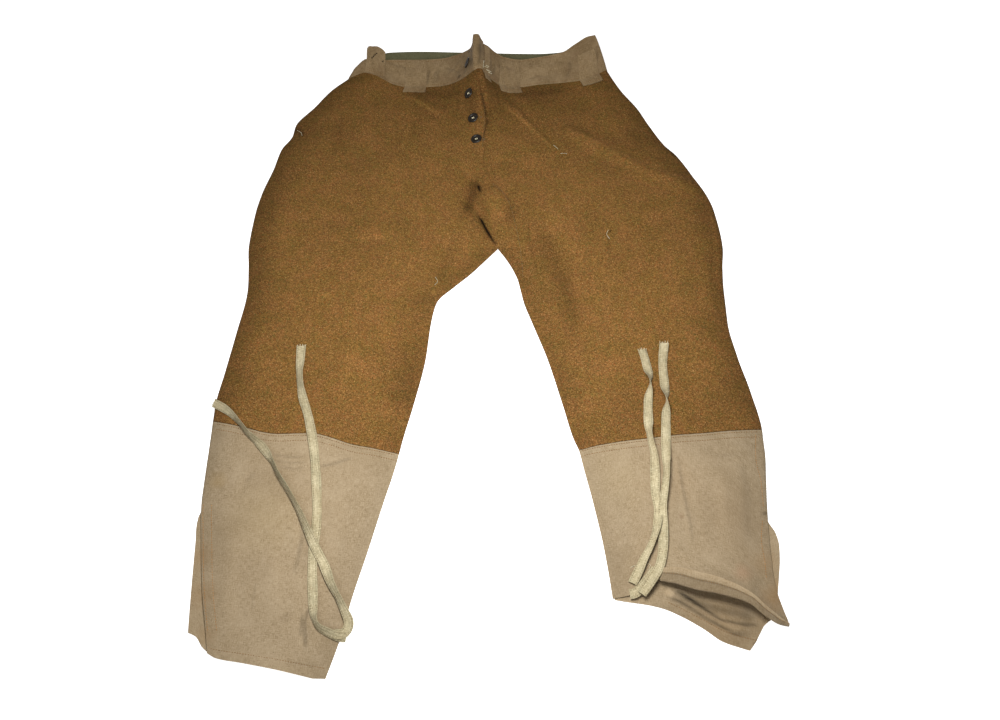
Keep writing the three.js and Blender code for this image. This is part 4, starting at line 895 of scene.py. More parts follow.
def wool_material():
    """Heather wool: brown yarns with pale, dark, red and green fibres under a short nap."""
    s = Shader("wool_cloth", Roughness=0.95, Sheen_Weight=0.06, Sheen_Roughness=0.6,
               Specular_IOR_Level=0.08)
    s.bsdf.inputs["Sheen Tint"].default_value = colour(190, 150, 100)
    grain = s.noise(620, 3, 0.7)
    warp = s.noise(1, 3, 0.6, s.stretched(1300, 380))
    weft = s.noise(1, 3, 0.6, s.stretched(380, 1300, 1, (0.3, 0.2, 0)))
    yarn = s.math("MULTIPLY", s.math("ADD", warp, weft), 0.5)
    mixed = s.math("ADD", s.math("MULTIPLY", grain, 0.6), s.math("MULTIPLY", yarn, 0.4))
    base = s.ramp(mixed, (0.36, colour(66, 44, 18)), (0.46, colour(104, 74, 36)),
                  (0.55, colour(130, 94, 50)), (0.66, colour(186, 148, 96)))
    speckle = s.ramp(s.noise(300, 2, 0.6, shift=0.17), (0.36, (0.76, 0.76, 0.78, 1)),
                     (0.50, (1.0, 1.0, 1.0, 1)), (0.64, (1.26, 1.25, 1.24, 1)))
    base = s.times(base, speckle)
    red = s.between(s.noise(400, 2, 0.5, shift=0.41), 0.58, 0.70)
    base = s.tinted(base, red, 0.5, colour(142, 78, 36))
    green = s.between(s.noise(360, 2, 0.5, shift=0.83), 0.57, 0.69)
    base = s.tinted(base, green, 0.45, colour(92, 90, 44))
    pale = s.between(s.noise(1, 2, 0.5, s.stretched(900, 260, 1, (0.9, 0.4, 0))), 0.68, 0.76)
    base = s.tinted(base, pale, 0.45, colour(196, 168, 122))
    hue = s.ramp(s.noise(38, 3, 0.6, shift=0.61), (0.38, (0.93, 0.98, 0.90, 1)),
                 (0.62, (1.07, 1.02, 1.08, 1)))
    base = s.times(base, hue)
    cloud = s.ramp(s.noise(16, 4, 0.6), (0.35, (0.93, 0.93, 0.93, 1)),
                   (0.65, (1.06, 1.06, 1.05, 1)))
    return s.finish(s.toned(s.times(base, cloud)), mixed, 0.0011, 0.7)


def woven(name, base, light, dark, slub=0.5, **sockets):
    """Plain-woven cotton: even threads both ways, slubs and a cloudy, washed colour."""
    s = Shader(name, Roughness=0.9, Specular_IOR_Level=0.15, Sheen_Weight=0.05, **sockets)
    across = s.noise(1, 3, 0.7, s.stretched(140, 1250))
    along = s.noise(1, 3, 0.7, s.stretched(1250, 140, 1, (0.6, 0.1, 0)))
    thread = s.math("MULTIPLY", s.math("ADD", across, along), 0.5)
    toned = s.ramp(thread, (0.36, dark), (0.5, base), (0.64, light))
    worn = s.noise(34, 5, 0.62)
    toned = s.tinted(toned, s.between(worn, 0.42, 0.72), slub, light)
    soiled = s.noise(11, 4, 0.6, shift=0.53)
    toned = s.tinted(toned, s.between(soiled, 0.48, 0.72), slub, dark)
    return s, toned, thread


def calf_material():
    s, toned, thread = woven("calf_cotton", colour(151, 132, 103), colour(173, 155, 128),
                             colour(123, 105, 79), 0.36)
    for x, y, radius, strength, tint in [
            (302, 176, 16, 0.20, (178, 130, 102)), (345, 150, 26, 0.35, (158, 120, 72)),
            (270, 108, 62, 0.34, (146, 116, 76)), (-368, 300, 16, 0.30, (150, 122, 72)),
            (331, 190, 24, 0.26, (156, 122, 82)), (334, 142, 20, 0.30, (154, 120, 80)),
            (-376, 200, 20, 0.35, (138, 106, 68)), (-368, 150, 22, 0.35, (138, 106, 68)),
            (-356, 100, 16, 0.35, (140, 110, 72)), (-300, 250, 60, 0.16, (150, 130, 84)),
            (230, 300, 50, 0.12, (150, 122, 92)), (-262, 122, 9, 0.25, (110, 92, 70)),
            (-228, 146, 12, 0.20, (120, 100, 76)), (232, 251, 5, 0.35, (120, 90, 66)),
            (300, 250, 70, 0.14, (146, 120, 90)), (150, 300, 60, 0.12, (150, 134, 96))]:
        toned = s.tinted(toned, s.spot(x, y, radius), strength, colour(*tint))
    specks = s.between(s.noise(150, 2, 0.5, shift=0.9), 0.74, 0.79)
    toned = s.tinted(toned, specks, 0.45, colour(96, 76, 54))
    return s.finish(s.toned(toned), thread, 0.0006, 0.6)


def band_material():
    s, toned, thread = woven("band_cotton", colour(130, 108, 76), colour(156, 134, 102),
                             colour(98, 78, 52), 0.6)
    grime = s.between(s.noise(60, 4, 0.6, shift=0.2), 0.5, 0.75)
    toned = s.tinted(toned, grime, 0.3, colour(108, 80, 58))
    return s.finish(s.toned(toned), thread, 0.0008, 0.7)


def facing_material():
    s, toned, thread = woven("facing_cotton", colour(108, 105, 76), colour(126, 123, 92),
                             colour(84, 81, 56), 0.5)
    return s.finish(toned, thread, 0.0005, 0.5)


def tape_material():
    """Folded cotton tape: a broken line of stitches beside one edge, creased and soiled, and
    painted shade along its folded edges.
    """
    s, toned, thread = woven("tape_cotton", colour(172, 159, 126), colour(214, 202, 168),
                             colour(124, 111, 82), 0.5)
    along = s.node("ShaderNodeSeparateXYZ", {0: s.place}).outputs
    for offset in (-1, 1):
        line = s.math("ABSOLUTE", s.math("SUBTRACT", along["X"], offset * TAPE_STITCH / 1000))
        near = s.between(line, 0.0008, 0.0004)
        broken = s.between(s.math("FRACT", s.math("MULTIPLY", along["Y"], 300)), 0.16, 0.30)
        toned = s.tinted(toned, s.math("MULTIPLY", near, broken), 0.5, colour(92, 80, 54))
    # painted shade along both folded edges of the tape
    side = s.between(s.math("ABSOLUTE", along["X"]), 0.0050, 0.0060)
    toned = s.tinted(toned, side, 0.45, colour(112, 100, 74))
    grey = s.between(s.noise(45, 3, 0.6, shift=0.4), 0.5, 0.7)
    toned = s.tinted(toned, grey, 0.35, colour(132, 128, 102))
    brown = s.between(s.noise(30, 3, 0.6, shift=0.9), 0.55, 0.72)
    toned = s.tinted(toned, brown, 0.3, colour(136, 112, 72))
    return s.finish(toned, thread, 0.0006, 0.7)


def button_material():
    s = Shader("button_resin", on_cloth=False, Roughness=0.4, Specular_IOR_Level=0.45)
    worn = s.noise(420, 4, 0.6)
    base = s.ramp(worn, (0.35, colour(22, 18, 14)), (0.75, colour(52, 43, 34)))
    return s.finish(base, worn, 0.00015, 0.4)


def thread_material(name, shade, light):
    s = Shader(name, on_cloth=False, Roughness=0.85, Specular_IOR_Level=0.2)
    base = s.ramp(s.noise(300, 2), (0.35, colour(*shade)), (0.65, colour(*light)))
    return s.finish(base)


def floor_material():
    s = Shader("pale_floor", on_cloth=False, Roughness=0.9, Specular_IOR_Level=0.1,
               Emission_Strength=0.80)
    s.bsdf.inputs["Emission Color"].default_value = (1, 1, 1, 1)
    base = s.ramp(s.noise(3, 2), (0.3, (0.93, 0.93, 0.93, 1)), (0.7, (0.95, 0.95, 0.95, 1)))
    return s.finish(base)


WOOL_CLOTH = wool_material()
CALF_CLOTH = calf_material()
BAND_CLOTH = band_material()
FACING_CLOTH = facing_material()
TAPE_CLOTH = tape_material()
BUTTON = button_material()
BROWN_THREAD = thread_material("brown_thread", (112, 82, 50), (142, 108, 70))
DARK_THREAD = thread_material("dark_thread", (88, 74, 52), (112, 96, 70))
RUST_THREAD = thread_material("rust_thread", (142, 98, 52), (168, 122, 72))
BLACK_THREAD = thread_material("black_thread", (44, 34, 22), (62, 50, 34))
PALE_THREAD = thread_material("pale_thread", (196, 186, 152), (222, 214, 186))

# ---------------------------------------------------------------- camera

FOCAL = 1030.0                   # pixels, in a picture 1000 wide
DISTANCE = 1.430
TARGET = (ORIGIN[0] / 1000, (480 + ORIGIN[1]) / 1000, 0.0)


def add_camera():
    data = bpy.data.cameras.new("camera")
    data.lens = FOCAL / 1000 * data.sensor_width
    data.clip_start = 0.01
    camera = bpy.data.objects.new("camera", data)
    back = DISTANCE * math.cos(ELEVATION)
    camera.location = (TARGET[0], TARGET[1] - back, DISTANCE * math.sin(ELEVATION))
    camera.rotation_euler = (math.pi / 2 - ELEVATION, 0, 0)
    bpy.context.scene.collection.objects.link(camera)
    bpy.context.scene.camera = camera


add_camera()

# ---------------------------------------------------------------- woollen and cotton panels

FRONT_COLUMNS = front_columns(7, 128)
WOOL_ROWS = np.linspace(0, 1, 214)
CALF_ROWS = np.linspace(0, 1, 118)
BACK_COLUMNS, BACK_ROWS = np.linspace(0, 1, 44), np.linspace(0, 1, 80)
CALF_BACK_COLUMNS, CALF_BACK_ROWS = np.linspace(0, 1, 84), np.linspace(0, 1, 110)

for leg in (RIGHT, LEFT):
    a, b = unit_grid(FRONT_COLUMNS, WOOL_ROWS)
    leg.wool = wool_front(leg, a, b)
    raised = lap_raise(leg.wool[..., 0], leg.wool[..., 1]) if leg is RIGHT else 0.0
    # each front carries painted shade and painted highlights from its lines, and painted shade
    # toward its edges
    leg.wool_piece = shell(f"wool_front_{leg.side}", leg.wool, WOOL, WOOL_CLOTH, "wool",
                           [f"front_{leg.side}"], raised, front_painted_shading(leg, leg.wool, WOOL_PAINTED_SHADING_AND_MARKS))
    a, b = unit_grid(FRONT_COLUMNS, CALF_ROWS)
    leg.calf = calf_front(leg, a, b)
    leg.calf_piece = shell(f"cotton_front_{leg.side}", leg.calf, COTTON, CALF_CLOTH,
                           "calf_cotton", [f"calf_front_{leg.side}"],
                           painted_shading_and_marks=front_painted_shading(leg, leg.calf, CALF_PAINTED_SHADING) * 0.6)
    a, b = unit_grid(BACK_COLUMNS, BACK_ROWS)
    leg.back_piece = shell(f"wool_back_{leg.side}", wool_back(leg, a, b), WOOL, WOOL_CLOTH,
                           "wool", [f"back_{leg.side}"])
    a, b = unit_grid(CALF_BACK_COLUMNS, CALF_BACK_ROWS)
    leg.calf_under = calf_back(leg, a, b)
    # painted shade and painted highlights inside the open end of the left leg
    inside = fold_height(CUFF_PAINTED_SHADING, leg.calf_under[..., 0], leg.calf_under[..., 1])
    leg.calf_back_piece = shell(f"cotton_back_{leg.side}", leg.calf_under, COTTON, CALF_CLOTH,
                                "calf_cotton", [f"calf_back_{leg.side}"],
                                painted_shading_and_marks=inside * (leg is LEFT))

# ---------------------------------------------------------------- gusset


def add_gusset():
    rows = np.linspace(GUSSET_BOTTOM, GUSSET_TOP, 64)
    a, y = unit_grid(np.linspace(0, 1, 14), rows)
    rim = (WOOL / 2) * LEFT.slant_inner(y) * (1 - joined(y))
    start = LEFT.inner(y) + rim + CENTRE_SEAM
    end = np.maximum(front_inner(LEFT, y) + rim - CENTRE_SEAM, start + 0.6)
    x = mix(start, end, a)
    points = np.stack((x, y, wool_height(LEFT, x, y)), -1)
    # the gusset carries the wool's painted shade and painted highlights
    return shell("wool_gusset", points, WOOL, WOOL_CLOTH, "wool", ["crotch_gusset"],
                 painted_shading_and_marks=front_painted_shading(LEFT, points, WOOL_PAINTED_SHADING_AND_MARKS))


gusset_piece = add_gusset()

# ---------------------------------------------------------------- turned-up hem

HEM_TURN = column([(200, 15), (222, 19), (243, 19.5), (281, 15), (305, 10.5), (330, 8),
                   (349, 1.5)])
HEM_LEAN = 0.3
HEM_RISE = 0.05                  # rise for each mm back
HEM_WRAP = COTTON + GAP + 0.3
HEM_WRAP_SHARE = 0.35
HEM_CORNER_X = 199


def hem_edge():
    edge = LEFT.calf[0]
    return edge[:int(np.searchsorted(-edge[:, 0], -HEM_CORNER_X)) + 1]


def hem_row(edge, share, angle=math.pi / 2):
    """A row of the turned hem: round its fold by an angle, then back by a share of its width."""
    back = share * HEM_TURN(edge[:, 0])
    direction = np.array((math.sin(HEM_LEAN), math.cos(HEM_LEAN), 0))
    row = edge + direction * (back - HEM_WRAP * math.cos(angle))[:, None]
    row[:, 2] += HEM_WRAP * math.sin(angle) + back * HEM_RISE
    return row


def add_turned_hem():
    edge = hem_edge()
    rows = np.concatenate((np.linspace(0, HEM_WRAP_SHARE, 7), np.linspace(0.38, 1, 26)))
    share = (rows - HEM_WRAP_SHARE) / (1 - HEM_WRAP_SHARE)
    points = [hem_row(edge, max(0.0, back), min(b / HEM_WRAP_SHARE, 1) * math.pi / 2)
              for b, back in zip(rows, share)]
    # painted shading of the turned band: a painted highlight along its top edge, painted shade
    # below it, and a darker line along its row of stitches
    painted_shading_and_marks = 0.10 * smooth(0.72, 1.0, share) - 0.30 * smooth(0.56, 0.40, share)
    painted_shading_and_marks = painted_shading_and_marks - 0.45 * np.exp(-(((share - 0.52) / 0.07) ** 2))
    return shell("cotton_hem_left", np.array(points), COTTON, CALF_CLOTH, "calf_cotton",
                 ["hem_turned_left"], painted_shading_and_marks=np.repeat(painted_shading_and_marks[:, None], len(edge), 1))


hem_piece = add_turned_hem()

# ---------------------------------------------------------------- waistband

front_top = [column(FRONT_TOP, k) for k in (1, 2, 3)]
back_top = [column(BACK_TOP, k) for k in (1, 2, 3)]
FLY_X = float(centre_line(WAIST_Y))
BACK_BAND_FROM, BACK_BAND_TO = -235, 164
BACK_BAND_COLUMNS = np.linspace(0, 1, 140)

# path (x, height over the seam), width, height of the waistband's creases
BAND_CREASES = [
    ([(-104, 4), (-108, 18), (-104, 30)], 2.6, -1.6), ([(-98, 2), (-101, 16), (-97, 30)], 3, 1.3),
    ([(-190, 30), (-160, 33), (-130, 30)], 3, -0.9), ([(-180, 12), (-150, 16), (-125, 12)], 4, 0.8),
    ([(-90, 34), (-74, 24), (-60, 12)], 3.4, -1.2), ([(-84, 12), (-70, 22), (-58, 34)], 3, 0.8),
    ([(-54, 6), (-50, 20), (-52, 34)], 2.6, -1.0), ([(-215, 6), (-205, 18), (-200, 34)], 3, -1.2),
    ([(-18, 8), (-12, 22), (-16, 40)], 2.4, -1.2), ([(-6, 30), (8, 34), (24, 30)], 3, -0.8),
    ([(36, 10), (60, 14), (84, 9)], 3, -1.0), ([(40, 22), (66, 25), (96, 20)], 3.4, 0.9),
    ([(70, 34), (96, 36), (116, 30)], 3, -0.8), ([(110, 8), (118, 22), (116, 38)], 3, -1.3),
    ([(122, 30), (140, 34), (156, 26)], 3.4, 0.9), ([(36, 34), (50, 30), (64, 34)], 2.6, 0.7),
    ([(150, 6), (156, 20), (152, 40)], 3, -1.0), ([(88, 2), (94, 14), (90, 26)], 2.4, -0.9)]


def band_base(leg, a, b):
    low = wool_front(leg, a, flat_row(a, 1))
    low[..., 1] += BAND_SEAM
    lean, top_y, top_z = (f(low[..., 0]) for f in front_top)
    top = np.stack((low[..., 0] + lean, top_y, top_z), -1)
    return low + (top - low) * b[..., None]


def over_seam(folds, points, b):
    """Sum of folds whose places are x and the height over the waist seam."""
    height = np.linalg.norm(points[-1] - points[0], axis=-1)[None, :] * b
    return fold_height(folds, points[..., 0], height)


def front_band(leg, a, b):
    points = band_base(leg, a, b)
    normal = normals_of(points)
    relief = over_seam(BAND_CREASES, points, b)
    relief += 0.5 * np.sin(points[..., 0] / 7.0 + b * 2) * np.sin(b * np.pi)
    relief += 1.0 * np.sin(b * np.pi)
    fade = smooth(0, 0.12, b) * smooth(1, 0.9, b)
    return points + normal * (relief * fade)[..., None]


def back_band(a, b):
    x = mix(BACK_BAND_FROM, BACK_BAND_TO, a)
    y = back_seam(x) + GAP
    lift = np.where(x < FLY_X, corner_lift(RIGHT, x, y), corner_lift(LEFT, x, y))
    low = np.stack((x, y, BAND / 2 + lift), -1)
    lean, top_y, top_z = (f(x) for f in back_top)
    top = np.stack((x + lean, top_y, top_z), -1)
    return low + (top - low) * b[..., None]


BAND_ROWS = np.linspace(0, 1, 26)
for leg in (RIGHT, LEFT):
    a, b = unit_grid(FRONT_COLUMNS, BAND_ROWS)
    leg.band = front_band(leg, a, b)
    # the front waistband carries painted shade in its creases and painted highlights beside them
    leg.band_piece = shell(f"waistband_{leg.side}", leg.band, BAND, BAND_CLOTH, "band_cotton",
                           [f"band_front_{leg.side}"], band_raise(leg, leg.band[..., 0]),
                           over_seam(BAND_PAINTED_SHADING, leg.band, b))

BACK_BAND = back_band(*unit_grid(BACK_BAND_COLUMNS, BAND_ROWS))
back_band_piece = shell("waistband_back", BACK_BAND, BAND, BAND_CLOTH, "band_cotton",
                        ["band_back"])

FACING_RISE = BAND / 2 + GAP + FACING / 2 + 0.1
FACING_ROWS, FACING_COLUMNS = slice(8, 26), slice(10, 130)


def add_band_facing():
    points = (BACK_BAND + normals_of(BACK_BAND) * FACING_RISE)[FACING_ROWS, FACING_COLUMNS]
    b = (np.arange(points.shape[0]) / (points.shape[0] - 1))[:, None]
    wave = 0.25 * np.sin(points[..., 0] / 6.0) * np.sin(b * np.pi)
    points[..., 2] += np.abs(wave)
    return shell("waistband_facing", points, FACING, FACING_CLOTH, "facing", ["band_facing"])


facing_piece = add_band_facing()

# ---------------------------------------------------------------- places on the grids


def sample(grid, a, b):
    """Points on a grid at shares a across and b up, with their normals."""
    normal = normals_of(grid)
    j = np.clip(np.asarray(b, float), 0, 1) * (grid.shape[0] - 1)
    i = np.clip(np.asarray(a, float), 0, 1) * (grid.shape[1] - 1)
    j0 = np.minimum(j.astype(int), grid.shape[0] - 2)
    i0 = np.minimum(i.astype(int), grid.shape[1] - 2)
    s, t = (i - i0)[..., None], (j - j0)[..., None]

    def blend(values):
        low = mix(values[j0, i0], values[j0, i0 + 1], s)
        return mix(low, mix(values[j0 + 1, i0], values[j0 + 1, i0 + 1], s), t)

    return blend(grid), unit(blend(normal))


def column_at(leg, x):
    """Share of the grid's columns where its top row has an x."""
    xs = leg.wool[-1, :, 0]
    order = np.argsort(xs)
    return np.interp(x, xs[order], order / (len(xs) - 1))


def over_band(leg, a, s, out):
    """Place on the wool or the waistband, a distance s up from the seam, moved out."""
    a = np.asarray(a, float)
    low, _ = sample(leg.band, a, flat_row(a, 0))
    top, _ = sample(leg.band, a, flat_row(a, 1))
    height = np.linalg.norm(top - low, axis=-1)
    on_band, normal = sample(leg.band, a, s / height)
    place = on_band + normal * np.asarray(out)[..., None]
    past = np.maximum(s - height, 0)
    place[..., 1] += past * math.cos(LOOP_TILT)
    place[..., 2] += past * math.sin(LOOP_TILT)
    length = leg.wool[-1, :, 1].mean() - leg.wool[0, :, 1].mean()
    on_wool, wool_normal = sample(leg.wool, a, 1 + np.minimum(s, 0) / length)
    below = on_wool + wool_normal * np.asarray(out)[..., None]
    return np.where((s < 0)[..., None], below, place)


def wool_place(leg, x, y):
    """Point and normal of the top of a front's wool over a place of the plan."""
    return surface(lambda u, v: wool_height(leg, u, v)
                   + (lap_raise(u, v) if leg is RIGHT else 0), x, y, WOOL / 2)


def calf_place(leg, x, y):
    return surface(lambda u, v: calf_height(leg, u, v), x, y, COTTON / 2)


def surface(height, x, y, out):
    x = np.asarray(x, float)
    y = np.asarray(y, float)
    e = 0.5
    z = height(x, y)
    slope_x = (height(x + e, y) - height(x - e, y)) / (2 * e)
    slope_y = (height(x, y + e) - height(x, y - e)) / (2 * e)
    normal = unit(np.stack((-slope_x, -slope_y, np.ones(x.shape)), -1))
    return np.stack((x, y, z), -1) + normal * out, normal


# ---------------------------------------------------------------- belt loops

# name, x, width, lowest and highest place over the seam
LOOPS = [
    ("belt_loop_1", -201, 35, 3, 49),
    ("belt_loop_2", -134, 34, -12, 44),
    ("belt_loop_3", 14, 34, -12, 44),
    ("belt_loop_4", 143, 31, -12, 40)]
LOOP_RISE = BAND / 2 + GAP + 0.55 + LOOP / 2


def loop_puff(w, t):
    return 0.9 * np.sin(t * np.pi) * (1 - w ** 2) + 0.25 * np.sin(w * 9 + t * 7)


def add_loop(name, x, width, low, high):
    leg = RIGHT if x < FLY_X else LEFT
    w, t = unit_grid(np.linspace(-1, 1, 26), np.linspace(0, 1, 40))
    s = mix(low, high, t)
    if name == "belt_loop_1":
        s = s - t ** 3 * (5.5 * (1 - w) / 2 + 5 * w ** 4)
    a = column_at(leg, x + w * width / 2)
    points = over_band(leg, a, s, LOOP_RISE + loop_puff(w, t))
    return shell(f"{name}_strip", points, LOOP, BAND_CLOTH, "band_cotton", [name])


loop_pieces = [add_loop(*row) for row in LOOPS]

# ---------------------------------------------------------------- frayed facing of the fly

FRAY_FROM, FRAY_TO = 9, 17       # from the centre line, to the wearer's left


def add_fly_facing():
    a, t = unit_grid(np.linspace(0, 1, 12), np.linspace(0, 1, 40))
    x = FLY_X + mix(FRAY_FROM, FRAY_TO, a) + 0.5 * np.sin(t * 21) * (a - 0.5)
    points = over_band(LEFT, column_at(LEFT, x), mix(-9, 46, t), FACING_RISE + 0.1 + 0.2 * a)
    return shell("fly_facing_strip", points, FACING, BAND_CLOTH, "frayed_facing", ["fly_facing"])


fray_piece = add_fly_facing()

# ---------------------------------------------------------------- buttons

# beside the centre line, y, or height over the waist seam, tilt in degrees
BUTTONS = [("button_1", 8, None, 15.5, 20), ("button_2", 21.5, 934, None, 20),
           ("button_3", 20.5, 891, None, 9), ("button_4", 13.5, 852, None, 9)]
BUTTON_RADIUS = 8.5
# radius, height over the foot
BUTTON_PROFILE = [
    (0, 0), (3, 0), (5.2, 0.4), (7.3, 0.9), (8.2, 1.3), (8.5, 1.8), (8.4, 2.4), (8.0, 2.9),
    (7.4, 3.15), (6.9, 3.2), (6.3, 3.05), (5.9, 2.8), (5.3, 2.3), (4.8, 2.0), (3, 1.85), (0, 1.8)]
BUTTON_SIDES = 40
HOLE_SPREAD = 1.9
HOLE_RADIUS = 1.1
THREAD_SPREAD = 1.6              # of the thread's ends, from the button's middle
THREAD_LEVEL = 1.75
HOLE_STITCHES = 22               # round each buttonhole
HOLE_LONG, HOLE_WIDE = 9.6, 2.2  # half length and half width of a buttonhole
HOLE_SHIFT = 2.6                 # of a buttonhole, outward from its button


def lathe(profile, sides):
    points, faces, rings = [], [], []
    for radius, z in profile:
        if radius == 0:
            rings.append([len(points)] * sides)
            points.append((0, 0, z))
            continue
        rings.append(list(range(len(points), len(points) + sides)))
        for k in range(sides):
            angle = 2 * math.pi * k / sides
            points.append((radius * math.cos(angle), radius * math.sin(angle), z))
    for low, high in zip(rings, rings[1:]):
        for k in range(sides):
            n = (k + 1) % sides
            face = [low[k], low[n], high[n], high[k]]
            faces.append(list(dict.fromkeys(face)))
    return points, faces


def drilled_button():
    """Mesh of a dished button with four holes, in millimetres round its foot."""
    disc = object_from(*lathe(BUTTON_PROFILE, BUTTON_SIDES), "disc")
    pin = lathe([(0, -2), (HOLE_RADIUS, -2), (HOLE_RADIUS, 6), (0, 6)], 16)
    points, faces = [], []
    for dx, dy in ((1, 1), (-1, 1), (-1, -1), (1, -1)):
        shift = len(points)
        points += [(x + dx * HOLE_SPREAD, y + dy * HOLE_SPREAD, z) for x, y, z in pin[0]]
        faces += [[k + shift for k in face] for face in pin[1]]
    pins = object_from(points, faces, "pins")
    cut = disc.modifiers.new("cut", "BOOLEAN")
    cut.operation = "DIFFERENCE"
    cut.solver = "EXACT"
    cut.object = pins
    bpy.context.view_layer.update()
    evaluated = disc.evaluated_get(bpy.context.evaluated_depsgraph_get())
    mesh = bpy.data.meshes.new_from_object(evaluated)
    vertices = [tuple(v.co) for v in mesh.vertices]
    polygons = [list(p.vertices) for p in mesh.polygons]
    for made in (disc, pins):
        data = made.data
        bpy.data.objects.remove(made)
        bpy.data.meshes.remove(data)
    bpy.data.meshes.remove(mesh)
    return vertices, polygons


def button_place(dx, dy, beside, y, up):
    """Point of the cloth near a button."""
    if up is not None:
        a = column_at(RIGHT, FLY_X - beside + dx)
        return over_band(RIGHT, np.array([a]), np.array([up + dy]),
                         np.array([BAND_LAP + BAND / 2]))[0]
    x = centre_line(y) - beside + dx
    return wool_place(RIGHT, [x], [y + dy])[0][0]


def button_axes(beside, y, up):
    middle = button_place(0, 0, beside, y, up)
    side = button_place(4, 0, beside, y, up) - button_place(-4, 0, beside, y, up)
    ahead = button_place(0, 4, beside, y, up) - button_place(0, -4, beside, y, up)
    normal = unit(np.cross(side, ahead))
    side = unit(side)
    ahead = np.cross(normal, side)
    rise = 0.0
    for k in range(12):
        angle = k * math.pi / 6
        point = button_place(BUTTON_RADIUS * math.cos(angle), BUTTON_RADIUS * math.sin(angle),
                             beside, y, up)
        rise = max(rise, float(np.dot(point - middle, normal)) - 0.9)
    return middle + normal * (rise + 0.4), np.stack((side, ahead, normal))


def tilted(seat, axes, angle):
    """A button leaning up and to its wearer's right, on its thread."""
    side, ahead, normal = axes
    hinge = (side + ahead) / math.sqrt(2)
    down = (ahead - side) / math.sqrt(2)
    turned = down * math.cos(angle) - normal * math.sin(angle)
    normal = normal * math.cos(angle) + down * math.sin(angle)
    lift = BUTTON_RADIUS * math.sin(angle) * 0.75
    side, ahead = (hinge - turned) / math.sqrt(2), (hinge + turned) / math.sqrt(2)
    return seat + axes[2] * lift, np.stack((side, ahead, normal))


def capsule(start, end, radius, normal, sides=6):
    """Points and faces of one stitch: a short rod with tapered ends."""
    start, end, normal = (np.asarray(v, float) for v in (start, end, normal))
    along = unit(end - start)
    side = unit(np.cross(along, normal))
    up = np.cross(side, along)
    points = [start - up * radius * 0.6]
    for share, size in ((0.12, 0.7), (0.35, 1.0), (0.65, 1.0), (0.88, 0.7)):
        centre = mix(start, end, share)
        for k in range(sides):
            angle = 2 * math.pi * k / sides
            points.append(centre + radius * size * (side * math.cos(angle) + up * math.sin(angle)))
    points.append(end - up * radius * 0.6)
    faces = []
    for k in range(sides):
        n = (k + 1) % sides
        faces.append([0, 1 + n, 1 + k])
        for ring in range(3):
            low = 1 + ring * sides
            faces.append([low + k, low + n, low + sides + n, low + sides + k])
        faces.append([1 + 3 * sides + k, 1 + 3 * sides + n, 1 + 4 * sides])
    return points, faces


def join_parts(parts):
    points, faces = [], []
    for part_points, part_faces in parts:
        shift = len(points)
        points.extend(part_points)
        faces.extend([[k + shift for k in face] for face in part_faces])
    return np.array(points), faces


BUTTON_MESH = drilled_button()
button_threads = []
buttonholes = []
for name, beside, y, up, tilt in BUTTONS:
    seat, axes = tilted(*button_axes(beside, y, up), math.radians(tilt))
    vertices = np.array(BUTTON_MESH[0]) @ axes + seat
    add_mesh(f"{name}_disc", vertices, BUTTON_MESH[1], BUTTON, "button", [name], sharp=38)
    for (ax, ay), (bx, by) in (((1, 1), (-1, -1)), ((-1, 1), (1, -1)), ((1, 1), (1, -1)),
                               ((-1, 1), (-1, -1))):
        start, end = (seat + np.array((u * THREAD_SPREAD, v * THREAD_SPREAD, THREAD_LEVEL)) @ axes
                      for u, v in ((ax, ay), (bx, by)))
        button_threads.append(capsule(start, end, THREAD, axes[2]))
    for angle in np.arange(HOLE_STITCHES) * 2 * math.pi / HOLE_STITCHES:
        centre = button_place(HOLE_LONG * math.cos(angle) + HOLE_SHIFT,
                              HOLE_WIDE * math.sin(angle), beside, y, up)
        out = 1.1 * unit(axes[0] * math.cos(angle) * 0.6 + axes[1] * math.sin(angle))
        buttonholes.append(capsule(centre - out, centre + out, 0.45, axes[2], 5))

# ---------------------------------------------------------------- stitches


def stitch_line(places, normals, spacing=STITCH, length=2.3, radius=0.42):
    """Stitches along a line of places on a surface."""
    places = np.asarray(places)
    along = distances(places)
    parts = []
    for s in np.arange(spacing / 2, along[-1] - length, spacing):
        start, end, normal = (
            np.array([np.interp(at, along, values[:, k]) for k in range(3)])
            for at, values in ((s, places), (s + length, places), (s, normals)))
        parts.append(capsule(start, end, radius, normal, 5))
    return parts


def add_stitches(name, parts, material, slot):
    add_mesh(name, *join_parts(parts), material, slot, sharp=70)


def knee_stitches(leg):
    """Two rows under the seam of the knee."""
    ends = sorted((float(leg.outer(360)) - leg.sign * 5, float(leg.inner(350)) + leg.sign * 5))
    xs = np.linspace(*ends, 120)
    parts = []
    for below in KNEE_ROWS:
        parts += stitch_line(*calf_place(leg, xs, leg.knee(xs) - below), radius=0.5)
    return parts


def hem_stitches():
    xs = np.linspace(float(RIGHT.outer(90)) + 26, float(RIGHT.inner(60)) - 4, 100)
    return stitch_line(*calf_place(RIGHT, xs, RIGHT.hem_front(xs) + HEM_FOLD))


def slit_stitches():
    ys = np.linspace(104, 268, 90)
    parts = []
    for beside in SLIT_ROWS:
        xs = RIGHT.outer(ys) + RIGHT.slit_front(ys) + beside
        parts += stitch_line(*calf_place(RIGHT, xs, ys))
    for route in ([(341, 367), (337, 328), (340, 299), (339, 262)],
                  [(336, 247), (331, 219), (332, 192), (331, 168)]):
        line = spline(route, 60)
        parts += stitch_line(*calf_place(LEFT, line[:, 0], line[:, 1]))
    return parts


def turned_hem_stitches():
    grid = np.array([hem_row(hem_edge(), share) for share in np.linspace(0, 1, 12)])
    places, normals = sample(grid, np.linspace(0.02, 0.98, 80), np.full(80, 0.52))
    return stitch_line(places + normals * COTTON / 2, normals)


